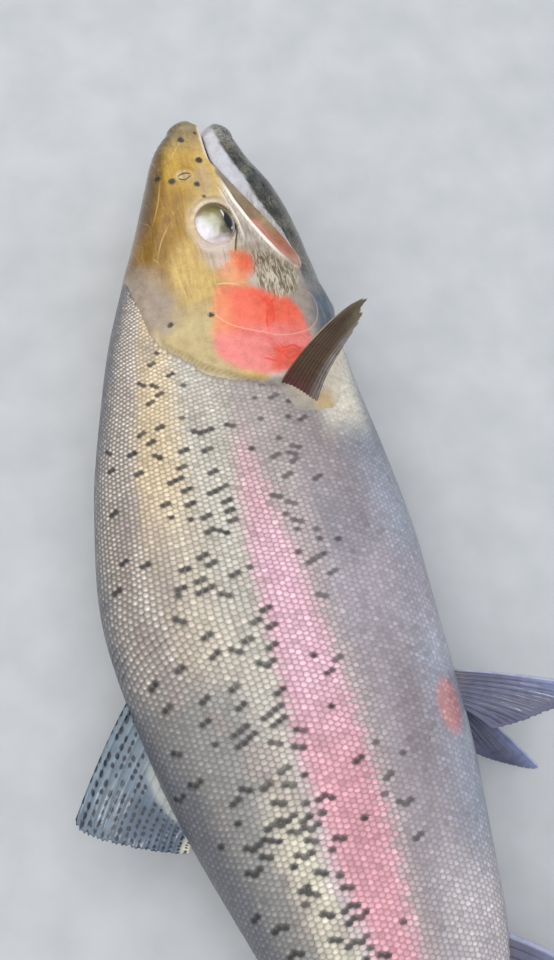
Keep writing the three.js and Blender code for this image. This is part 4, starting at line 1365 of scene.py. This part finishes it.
def lay_scales(side, seed):
    """Every scale of one flank: points, tones and map places, one entry for each plate."""
    size = scale_size(scale_along)
    chance = np.random.default_rng(seed)
    root, ahead, round_body, out, arc, fits = root_scales(chance, seed)
    ink = ink_scales(seed + 1, root)
    stir = chance.uniform(-1, 1, size.shape)
    dot, between = body_paint(root[..., 0], root[..., 1], stir, root)
    glint = 1 + 0.12 * chance.standard_normal(size.shape)[..., None]
    turn = LOOSE * chance.standard_normal(size.shape)[fits]
    grown = size[fits] * (1 + 0.05 * chance.standard_normal(size.shape)[fits])
    plan = PLAN[None] * grown[:, None, None]
    u = plan[..., 0] * np.cos(turn)[:, None] - plan[..., 1] * np.sin(turn)[:, None]
    w = plan[..., 0] * np.sin(turn)[:, None] + plan[..., 1] * np.cos(turn)[:, None]
    lift = DOME[None] - ROOT_DEPTH
    lift = lift + SCALE["tilt"] * plan[..., 0] * (1 + 0.15 * turn[:, None] / LOOSE)
    points = (root[fits][:, None] + ahead[fits][:, None] * u[..., None]
              + round_body[fits][:, None] * w[..., None] + out[fits][:, None] * lift[..., None])
    points[..., 2] = np.maximum(points[..., 2], 0.05) * side
    # a scale's middle is partly its own silver and partly painted highlight; glint varies it as painted
    # glints
    dots, nets = (dot * glint)[fits][:, None], between[fits][:, None]
    rise = flank_share(root[fits][:, 0], root[fits][:, 1])
    net_share = RIM[None] + 0.45 * ON_RING[None] * ease(rise, 0.45, 0.85)[:, None]
    tones = dots + (nets - dots) * net_share[..., None]
    dark = spread_ink(ink, size, PLAN * size[..., None, None])[fits][..., None]
    tones = tones + (paint(*SPOT_INK) - tones) * dark
    place_u = (root[fits][:, 0] - MAP["from"]) / MAP["along"] * 0.96 + 0.02
    place_v = arc[fits] / MAP["around"] + 0.5
    spread = PLAN / (2 * SCALE["root"]) * MAP["patch"]
    uv = np.stack([place_u, place_v], 1)[:, None] + spread[None]
    return points, tones, uv, root[fits][:, 0]


print("a dark spot's linear light:", paint(*SPOT_INK).round(3))

# %% The coat of both flanks, in four lengths
COAT_CUTS = [0, 178, 232, 300, 500]  # along the body, so that no length has too many faces
for flank_name, side, seed in (("right", 1, 170), ("left", -1, 202)):
    points, tones, uv, at = lay_scales(side, seed)
    for part, (first, last) in enumerate(zip(COAT_CUTS[:-1], COAT_CUTS[1:]), 1):
        chosen = (at >= first) & (at < last)
        count = int(chosen.sum())
        faces = (plate[None] + np.arange(count)[:, None, None] * len(PLAN)).reshape(-1, 3)
        faces = faces if side > 0 else faces[:, ::-1]
        laid = rest_on_floor(place(points[chosen].reshape(-1, 3)))
        coat = new_piece(f"scales_{flank_name}_{part}", laid, np.zeros((0, 4), int), faces,
                         colours={"tone": tones[chosen].reshape(-1, 3)}, uv=uv[chosen].reshape(-1, 2),
                         soft=np.zeros(len(faces), bool))
        coat.data.materials.append(SCALE_FINISH)
        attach(coat, "root")
        print(coat.name, count, "scales,", len(faces), "triangles")

# %% [markdown]
# ## Eyes
# A trout's eye is a low dome, almost filling its socket, with no lids: the skin laps over its
# edge. The pupil is not round but a blunt oval, and the eye here looks down and forward, so the
# pale ball shows above it. The ball is a flattened sphere whose rings run round the direction of
# its gaze: the pupil is measured in degrees from the gaze, and the paler and darker parts of the
# ball are coats of paint, placed from its middle forward and up. Among them are painted shade, a
# dark band under the socket's front rim and a line across the lower part, and a pale streak beside
# the pupil that is partly its pale rim and partly painted reflection.

# %% One eye's paint
GAZE = np.array([-0.26, -0.66, 1.0])
PUPIL = {"long": 19.0, "short": 13.0, "tilt": np.radians(-12), "power": 1.7}
EYE_RINGS, EYE_AROUND = 71, 96
# a pale streak along one side of the pupil: partly the pupil's pale rim, partly painted reflection
PALE_RIM_AND_REFLECTION = [(0.6, -0.28), (0.42, -0.33), (0.24, -0.4), (0.08, -0.5), (-0.08, -0.66)]


def eye_paint(ahead, rise):
    """Tone of the ball, 1 ahead being its edge towards the snout and 1 rise the one upwards."""
    place = np.stack([ahead, rise, 0 * rise], -1)
    cloud, streaks = mottle(place, (0.22, 0.16, 1), 71) - 0.5, mottle(place, (0.07, 0.5, 1), 72) - 0.5
    # brow: how far towards the front and top, where the socket's rim throws painted shadow
    brow = ahead + 0.16 * cloud + 0.16 * streaks
    tone = layered(
        plain(ahead, 226, 218, 222),
        (blob(ahead, rise, (0.0, 0.6), (0.4, 0.25), 0.9), (238, 234, 246)),
        (blob(ahead + 0.3 * cloud, rise, (0.3, -0.05), (0.5, 0.66), 1.0), (186, 186, 160)),
        (blob(ahead + 0.2 * cloud, rise, (0.3, -0.3), (0.3, 0.35), 1.0), (150, 146, 120)),
        (blob(ahead, rise + 0.2 * cloud, (-0.2, -0.38), (0.24, 0.36), 0.9), (104, 92, 66)),
        # a darker line across the ball's lower part, where it meets the skin: painted shadow
        (blob(ahead, rise, (-0.42, 0.0), (0.07, 0.6), 1.2, 12) * 0.7, (180, 164, 160)),
        (ease(ahead + 0.2 * cloud, -0.46, -0.6), (222, 206, 204)),
        # olive to dark brown towards the front and top: partly the iris's own colour, partly painted
        # shadow of the socket's front rim
        (0.8 * ease(brow, 0.28, 0.5), (146, 138, 92)),
        (ease(brow, 0.42, 0.62), (128, 116, 66)),
        (ease(brow, 0.62, 0.8) * (0.5 + 0.5 * ease(rise, 0.5, -0.1)), (88, 76, 44)))
    return tone * (1 + 0.3 * streaks * ease(brow, -0.2, 0.2))[..., None]


def eye_finish():
    """The ball's tone, the dark pupil with its soft edge, and a thin bright ring under it, partly the
    pupil's pale rim and partly painted reflection.
    """
    finish = Finish("wet_eye", Roughness=0.08, IOR=1.4, Coat_Weight=1.0, Coat_Roughness=0.02)
    pupil, cloud = finish.attribute("pupil"), finish.noise(500, 4)
    tone = finish.breakup(finish.tone(), cloud, 0.35, 0.7, (190, 180, 170), share=0.25)
    tone = finish.blend(finish.between(pupil, 1.8, 1.0, 0.0, 0.85), tone, (40, 34, 24))
    # the pale streak beside the pupil: partly its pale rim, partly painted reflection
    ring = finish.frayed(finish.attribute("ring"), cloud, 0.5)
    tone = finish.blend(finish.between(ring, 1.2, 0.5, 0.0, 0.85), tone, (232, 232, 226))
    finish.set("Base Color", finish.blend(finish.between(pupil, 1.06, 0.98), tone, (6, 6, 8)))
    finish.bump(cloud, 0.1, 0.0001)
    return finish.material


EYE_FINISH = eye_finish()
print("eye's finish:", len(EYE_FINISH.node_tree.nodes), "nodes")


# %% Both eyes
def unit(vector):
    """The vector's direction, with length 1."""
    return vector / np.linalg.norm(vector)


def eye_ball(side):
    """Flattened sphere in rings round the gaze: radius by along, tall by height, depth out."""
    gaze = unit(GAZE)
    first = unit(np.cross([0, 1, 0], gaze))
    second = np.cross(gaze, first)
    angle = np.linspace(0, np.pi, EYE_RINGS + 2)[1:-1, None]
    round_it = np.linspace(0, 2 * np.pi, EYE_AROUND, endpoint=False)[None]
    ball = (np.cos(angle)[..., None] * gaze + (np.sin(angle) * np.cos(round_it))[..., None] * first
            + (np.sin(angle) * np.sin(round_it))[..., None] * second)
    ball = np.concatenate([[gaze], ball.reshape(-1, 3), [-gaze]])
    sizes = np.array([EYE["radius"], EYE["tall"], EYE["depth"]])
    middle = np.array([EYE["along"], EYE["height"], float(half_at(EYE["along"])) - EYE["sunk"]])
    points = middle + ball * sizes
    index = 1 + np.arange(EYE_RINGS * EYE_AROUND).reshape(EYE_RINGS, EYE_AROUND)
    around = np.roll(index, -1, 1)
    quads = np.stack([index[:-1], around[:-1], around[1:], index[1:]], -1).reshape(-1, 4)
    caps = np.concatenate([np.stack([0 * index[0], around[0], index[0]], 1),
                           np.stack([0 * index[0] + len(ball) - 1, index[-1], around[-1]], 1)])
    if volume_of(points, quads, caps) < 0:
        quads, caps = quads[:, ::-1], caps[:, ::-1]
    if side < 0:
        points = points * np.array([1, 1, -1])
        quads, caps = quads[:, ::-1], caps[:, ::-1]
    lengthwise, upwards = (np.degrees(np.arctan2(ball @ way, ball @ gaze)) for way in (first, second))
    c, n, power = np.cos(PUPIL["tilt"]), np.sin(PUPIL["tilt"]), PUPIL["power"]
    long_way = np.abs((lengthwise * c + upwards * n) / PUPIL["long"]) ** power
    short_way = np.abs((upwards * c - lengthwise * n) / PUPIL["short"]) ** power
    ahead, rise = -ball[:, 0], ball[:, 1]
    # distance to the pale streak by the pupil, partly painted reflection
    ring = to_route(ahead, rise, PALE_RIM_AND_REFLECTION)[0] / 0.05
    numbers = {"pupil": (long_way + short_way) ** (1 / power), "ring": ring}
    return points, quads, caps, eye_paint(ahead, rise), numbers


for name, eye_side in (("right", 1), ("left", -1)):
    eye_points, eye_quads, eye_caps, eye_tone, eye_numbers = eye_ball(eye_side)
    eye = new_piece(f"eye_{name}_ball", place(eye_points), eye_quads, eye_caps,
                    colours={"tone": eye_tone}, numbers=eye_numbers)
    eye.data.materials.append(EYE_FINISH)
    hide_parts(f"eye_{name}")
    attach(eye, "root")

# %% [markdown]
# ## Fins
# A fin is a fan of jointed bony rays with a thin web between them. Each ray forks on its way out,
# so the outer half has twice as many ribs, and the web's edge is nicked between them. A fan is a
# net of its own: one measure runs across the rays and the other from the root to the edge, and
# the wall is a few tenths of a millimetre of web plus the ribs. The same two measures place the
# dark spots, which lie in rows between the rays.

# %% Sizes of the fins
FINS = {  # root's front and rear end, tip's front and rear end, as (along, height, side)
    "dorsal_fin": dict(at=[(231, 66, 0), (291, 52, 0), (279, 103, 0), (298, 61.5, 0)],
                       bulge=1, cup=0, rays=12, bow=-2.0, rounding=0.05, wave=1.2),
    "adipose_fin": dict(at=[(398, 27, 0), (411, 24, 0), (411, 39, 0), (419, 36, 0)],
                        bulge=2, cup=0, rays=5, bow=-1.0, rounding=0.10, wave=0.2),
    "anal_fin": dict(at=[(357, -42, 0), (393, -30, 0), (392, -76, 0), (405, -40, 0)],
                     bulge=-1, cup=0, rays=10, bow=-2.0, rounding=0.05, wave=0.9),
    "tail_fin": dict(at=[(460, 21, 0), (460, -22, 0), (526, 54, 0), (526, -55, 0)],
                     bulge=-26, cup=0, rays=18, bow=0.0, rounding=0.02, wave=1.0),
    "pelvic_fin_right": dict(at=[(255, -55, 7), (270, -54, 9), (279, -109, 19), (286, -66, 12)],
                             bulge=3, cup=2, rays=9, bow=-1.5, rounding=0.05, wave=0.8),
    "pelvic_fin_left": dict(at=[(255, -55, -7), (270, -54, -9), (307, -91, -15), (291, -62, -12)],
                            bulge=2, cup=-2, rays=9, bow=-1.5, rounding=0.05, wave=0.8),
    "pectoral_fin_right": dict(at=[(127, -11, 27.5), (140, -25, 25), (107, -35, 86), (119, -36, 66)],
                               bulge=4, cup=3, rays=11, bow=-2.5, rounding=0.25, wave=1.0),
    "pectoral_fin_left": dict(at=[(127, -16, -29), (135, -27, -25), (192, -34, -31), (163, -48, -27)],
                              bulge=3, cup=0, rays=11, bow=-1.0, rounding=0.08, wave=0.8),
}
COLUMNS_PER_RAY, FIN_ROWS = 8, 64
WEB, EDGE, ROOT_SWELL, ROOT_REACH = 0.38, 0.16, 1.9, 0.07  # walls in mm, reach in shares of it
print("rays:", {name: spec["rays"] for name, spec in FINS.items()})


# %% The shape of a fin
def fan_surface(name, at, bulge, cup, rays, bow, rounding, wave):
    """Middle sheet and wall of one fin. A point is root + (tip - root) * v, bowed along the root
    by 4v(1 - v), cupped by v^2 and waved across it; the tip line bulges out by 4u(1 - u)."""
    front, rear, tip_front, tip_rear = (place(np.array(p, float)) / MM for p in at)
    spread, reach = rear - front, (tip_front + tip_rear - front - rear) / 2
    normal, out = unit(np.cross(spread, reach)), unit(reach)
    u = np.linspace(0, 1, rays * COLUMNS_PER_RAY + 1)[:, None]
    v = np.linspace(0, 1, FIN_ROWS)[None] ** 0.92
    phase = u * rays
    part = phase % 1
    fork = 0.21 * ease(v, 0.4, 0.9)
    rib = hump(np.abs(part - 0.5) - fork, mix(0.17, 0.1, v))
    chance = np.random.default_rng(len(name) * 7 + rays)
    torn = chance.random(rays * 2 + 2)
    ragged = np.interp(phase * 2, np.arange(rays * 2 + 2), torn)
    whole = bulge == 2  # the fat fin and the left belly fin keep an even edge
    corner = rounding * (np.abs(2 * u - 1) ** 6 + 0.35 * ragged * (not whole))
    length = (1 - corner) - 0.018 * (1 - rib) * ease(v, 0.7, 1)
    t = v * length
    arch = 4 * u * (1 - u)
    root = front + (rear - front) * u[..., None]
    tip = tip_front + (tip_rear - tip_front) * u[..., None] + out * (bulge * arch)[..., None]
    middle = root + (tip - root) * t[..., None]
    middle = middle + unit(spread) * (bow * 4 * t * (1 - t))[..., None]
    sway = cup * t ** 2 + wave * t ** 1.5 * np.sin(2 * np.pi * (1.4 * u + 0.35 * t) + len(name))
    middle = middle + normal * sway[..., None]
    stiff = hump(phase, 0.8)  # the stout first ray
    wall = WEB + rib * mix(1.15, 0.3, v) + stiff * mix(1.2, 0.4, v)
    wall = wall + ROOT_SWELL * hump(t, ROOT_REACH)
    wall = wall * ease(v, 1.04, 0.9) + EDGE
    edge = np.sqrt(np.clip(1 - np.abs(2 * u - 1) ** 40, 0, 1))
    wall = np.maximum(wall * edge, 0.05)
    measures = {"u": u + 0 * v, "v": v + 0 * u, "phase": phase + 0 * v, "rib": rib,
                "size": float(np.linalg.norm(reach))}
    return middle, normal, wall, measures


back_wall = fan_surface("dorsal_fin", **FINS["dorsal_fin"])[2]
print("back fin's wall:", float(back_wall.min()), "to", float(back_wall.max().round(2)), "mm")


# %% Faces of a fin, and its rows of spots
NO_SPOTS = 9.0
CHANCES = 64  # random numbers each way, used again when they run out


def fin_faces(across, along_rays):
    """Quads of the two sheets of a fin and of the strip that joins their edges."""
    near = np.arange(across * along_rays).reshape(across, along_rays)
    far = near + near.size
    top = np.stack([near[:-1, :-1], near[1:, :-1], near[1:, 1:], near[:-1, 1:]], -1).reshape(-1, 4)
    loop = np.concatenate([near[:, 0], near[-1, 1:], near[-2::-1, -1], near[0, -2:0:-1]])
    ahead = np.roll(loop, -1)
    rim_quads = np.stack([loop, loop + near.size, ahead + near.size, ahead], -1)
    return np.concatenate([top, top[:, ::-1] + far[0, 0], rim_quads])


def fin_spots(phase, v, size, pitch, seed):
    """Distance (under 0 inside) to the spots: one oval in most cells between two rays."""
    table = np.random.default_rng(seed).random((4, CHANCES, CHANCES))
    lane = np.floor(phase + 0.5)
    column = lane.astype(int) % CHANCES
    offset = table[0][column, 0]
    best = np.full(phase.shape, NO_SPOTS)
    run = v * size / pitch
    for step in (-1, 0, 1):
        cell = np.floor(run + offset) + step
        pick = (column, (cell + 8).astype(int) % CHANCES)
        middle = cell - offset + 0.5 + 0.35 * (table[1][pick] - 0.5)
        across = (phase - lane - 0.18 * (table[2][pick] - 0.5)) / (0.2 + 0.14 * table[3][pick])
        ahead = (run - middle) / (0.3 + 0.16 * table[2][pick])
        found = np.hypot(across, ahead) - 1 + 3 * (table[3][pick] < 0.12)
        best = np.minimum(best, found)
    return best


print("faces of a net of 3 by 3:", len(fin_faces(3, 3)))


# %% Colours of the fins: tone, distance to the spots, and the spots' colour
def blue_fin(u, v, phase, rib, size):
    """Back fin: grey blue, paler rays and a pale strip along the rear of the root."""
    strip = ease(v, 0.56, 0.46) * ease(u, 0.3, 0.5) * ease(v - 0.55 * u, 0.2, 0.1)
    tone = layered(
        plain(u, 106, 123, 138),
        (0.6 * rib, (134, 152, 164)),
        (0.85 * ease(u, 0.15, 0.5) * ease(v, 0.38, 0.65), (60, 78, 100)),
        (0.6 * ease(v, 0.6, 1), (92, 108, 128)),
        (0.85 * strip, (178, 182, 178)),
        (ease(u, 0.88, 0.96), (206, 204, 186)))
    return tone, fin_spots(1.3 * phase, v, size, 2.5, 5) + 2 * strip, (16, 28, 46)


def lilac_fin(u, v, phase, rib, size):
    """Belly and anal fins: grey lilac, with a pale front ray."""
    tone = layered(
        plain(u, 80, 82, 110),
        (0.55 * rib, (94, 96, 124)),
        (ease(v, 0.25, 0.02), (112, 104, 108)),
        (ease(u, 0.45, 0.1) * ease(v, 0.3, 0.9) * 0.7, (128, 140, 184)),
        (0.8 * ease(phase, 0.75, 0.3) * ease(v, 0.02, 0.2), (190, 196, 226)))
    return tone, NO_SPOTS + 0 * u, (60, 60, 70)


def brown_fin(u, v, phase, rib, size):
    """Breast fin: dark brown, partly its own colour and partly painted shade, wine red at its root,
    olive at its tip, pale along its rear, where its rays carry white lines that are painted highlights.
    """
    rear_web = ease(u, 0.62, 0.9)
    tone = layered(
        plain(u, 100, 78, 56),
        (0.8 * rib, (74, 56, 44)),
        (ease(v, 0.32, 0.05), (104, 62, 62)),
        (ease(v, 0.72, 1.0) * 0.8, (128, 118, 92)),
        (rear_web * 0.6, (152, 144, 140)),
        # white lines along the rear rays: painted highlights
        (rear_web * ease(rib, 0.55, 0.95) * ease(v, 0.1, 0.3), (214, 208, 204)),
        (ease(phase, 0.35, 0.1) * ease(v, 0.45, 0.7), (186, 170, 152)))
    return tone, NO_SPOTS + 0 * u, (40, 30, 26)


def olive_fin(u, v, phase, rib, size):
    """Tail and fat fin: olive grey with rows of black spots."""
    tone = layered(
        plain(u, 140, 134, 116),
        (0.6 * rib, (164, 156, 134)),
        (ease(np.abs(u - 0.5), 0.16, 0.02) * ease(v, 0.5, 0.0) * 0.8, (176, 140, 146)),
        (ease(v, 0.86, 1.0) * 0.6, (104, 98, 96)))
    return tone, fin_spots(phase, v, size, 4.4, 8), (40, 38, 40)


FIN_TONES = {"dorsal_fin": blue_fin, "tail_fin": olive_fin, "adipose_fin": olive_fin,
             "anal_fin": lilac_fin, "pelvic_fin_right": lilac_fin, "pelvic_fin_left": lilac_fin,
             "pectoral_fin_right": brown_fin, "pectoral_fin_left": brown_fin}
print("fins of each colouring:", {tones.__name__: list(FIN_TONES.values()).count(tones)
                                  for tones in FIN_TONES.values()})


# %% The fins' finish
def fin_finish():
    """The web's tone and spots, with the joints of the rays as fine rings in the bump."""
    finish = Finish("fin_web", Roughness=0.3, IOR=1.38, Coat_Weight=0.5, Coat_Roughness=0.1)
    fine, broad = finish.noise(1300, 2), finish.noise(220, 3)
    tone = finish.breakup(finish.tone(), broad, 0.3, 0.7, (200, 198, 196), share=0.7)
    spots = finish.frayed(finish.attribute("spot"), fine, 0.3)
    tone = finish.blend(finish.between(spots, 0.15, -0.25), tone, finish.attribute("ink", "Color"))
    finish.set("Base Color", tone)
    finish.set("Roughness", finish.between(broad, 0.3, 0.7, 0.2, 0.42))
    finish.bump(finish.plus(fine, finish.attribute("joints")), 0.35, 0.00015)
    return finish.material


FIN_FINISH = fin_finish()
print("fins' finish:", len(FIN_FINISH.node_tree.nodes), "nodes")

# %% All eight fins
JOINT_PITCH = 1.1
for name, spec in FINS.items():
    middle, normal, wall, f = fan_surface(name, **spec)
    half_wall = normal * (wall / 2)[..., None]
    fin_points = np.stack([middle + half_wall, middle - half_wall]).reshape(-1, 3) * MM
    quads = fin_faces(*wall.shape)
    if volume_of(fin_points, quads, []) < 0:
        quads = quads[:, ::-1]
    tone, spot, ink = FIN_TONES[name](**f)
    joints = f["rib"] * np.cos(2 * np.pi * f["v"] * f["size"] / JOINT_PITCH)
    joints = joints * ease(f["v"], 0.15, 0.4)
    twice = [np.tile(values.ravel(), 2) for values in (spot, joints)]
    fin = new_piece(f"{name}_fan", rest_on_floor(fin_points), quads,
                    colours={"tone": np.tile(tone.reshape(-1, 3), (2, 1)),
                             "ink": np.tile(paint(*ink), (2 * spot.size, 1))},
                    numbers={"spot": twice[0], "joints": twice[1]})
    fin.data.materials.append(FIN_FINISH)
    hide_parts(name)
    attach(fin, "root")
    print(fin.name, len(quads) * 2, "triangles, lowest point",
          round(float(fin_points[:, 2].min()) * 1000, 2), "mm")

# %% [markdown]
# ## Camera, light and floor
# The camera looks down on the right flank, from a little towards the back and the tail. The
# light is a broad soft panel above, as from an open sky, a small brighter one in front of it that
# gives the wet skin its glints, and a weak cool one from the belly's side.

# %% Camera
FOCAL_PIXELS, LONG_SIDE = 1101, 960
TO_CAMERA = unit(np.array([-0.166, -0.218, 0.962]))
TARGET = ORIGIN + np.array([8.1, 38.9, 0]) * MM
DISTANCE, ROLL = 467.7 * MM, np.radians(-13.3)


def camera_axes():
    """Right, up and back of the camera: level axes turned about the line of sight by ROLL."""
    level = unit(np.cross([0, 1, 0], TO_CAMERA))
    upright = np.cross(TO_CAMERA, level)
    right = np.cos(ROLL) * level + np.sin(ROLL) * upright
    return right, -np.sin(ROLL) * level + np.cos(ROLL) * upright, TO_CAMERA


camera_data = bpy.data.cameras.new("camera")
camera_data.lens = FOCAL_PIXELS / LONG_SIDE * camera_data.sensor_width
camera_data.clip_start = 0.01
camera = bpy.data.objects.new("camera", camera_data)
turn = Matrix([list(row) for row in np.stack(camera_axes(), 1)]).to_4x4()
camera.matrix_world = Matrix.Translation(Vector(TARGET + TO_CAMERA * DISTANCE)) @ turn
bpy.context.scene.collection.objects.link(camera)
bpy.context.scene.camera = camera
print("camera at", [round(c, 4) for c in camera.location], "lens", round(camera_data.lens, 2))


# %% Light and floor
def panel(name, at, size, power, colour):
    """A square soft light at a place, facing what the camera looks at."""
    data = bpy.data.lights.new(name, "AREA")
    data.shape, data.size, data.energy, data.color = "SQUARE", size, power, colour
    light = bpy.data.objects.new(name, data)
    light.location = at
    toward = Vector(TARGET) - Vector(at)
    light.rotation_euler = toward.to_track_quat("-Z", "Y").to_euler()
    bpy.context.scene.collection.objects.link(light)


panel("sky", (-0.45, 0.35, 1.6), 3.2, 44, (1.0, 0.985, 0.965))
panel("gap_in_clouds", (-0.35, 0.1, 1.5), 0.16, 1.6, (1.0, 0.98, 0.95))
panel("side", (1.3, -0.2, 1.0), 1.0, 2.5, (0.85, 0.92, 1.0))
world = bpy.data.worlds.new("studio")
world.use_nodes = True
background = world.node_tree.nodes["Background"]
background.inputs["Color"].default_value = (0.86, 0.92, 1.0, 1)
background.inputs["Strength"].default_value = 0.42
bpy.context.scene.world = world
bpy.context.scene.view_settings.view_transform = "Standard"

FLOOR = 1.6  # metres from its middle to each side
floor_corners = FLOOR * np.array([(-1, -1, 0), (1, -1, 0), (1, 1, 0), (-1, 1, 0)])
floor = new_piece("floor", floor_corners, np.array([[0, 1, 2, 3]]))
floor_finish = Finish("pale_floor", Roughness=0.7)
grain = floor_finish.between(floor_finish.noise(40, 5), 0.3, 0.7)
floor_finish.set("Base Color", floor_finish.blend(grain, (184, 187, 190), (196, 198, 201)))
floor.data.materials.append(floor_finish.material)
print("lights:", [light.name for light in bpy.data.lights])
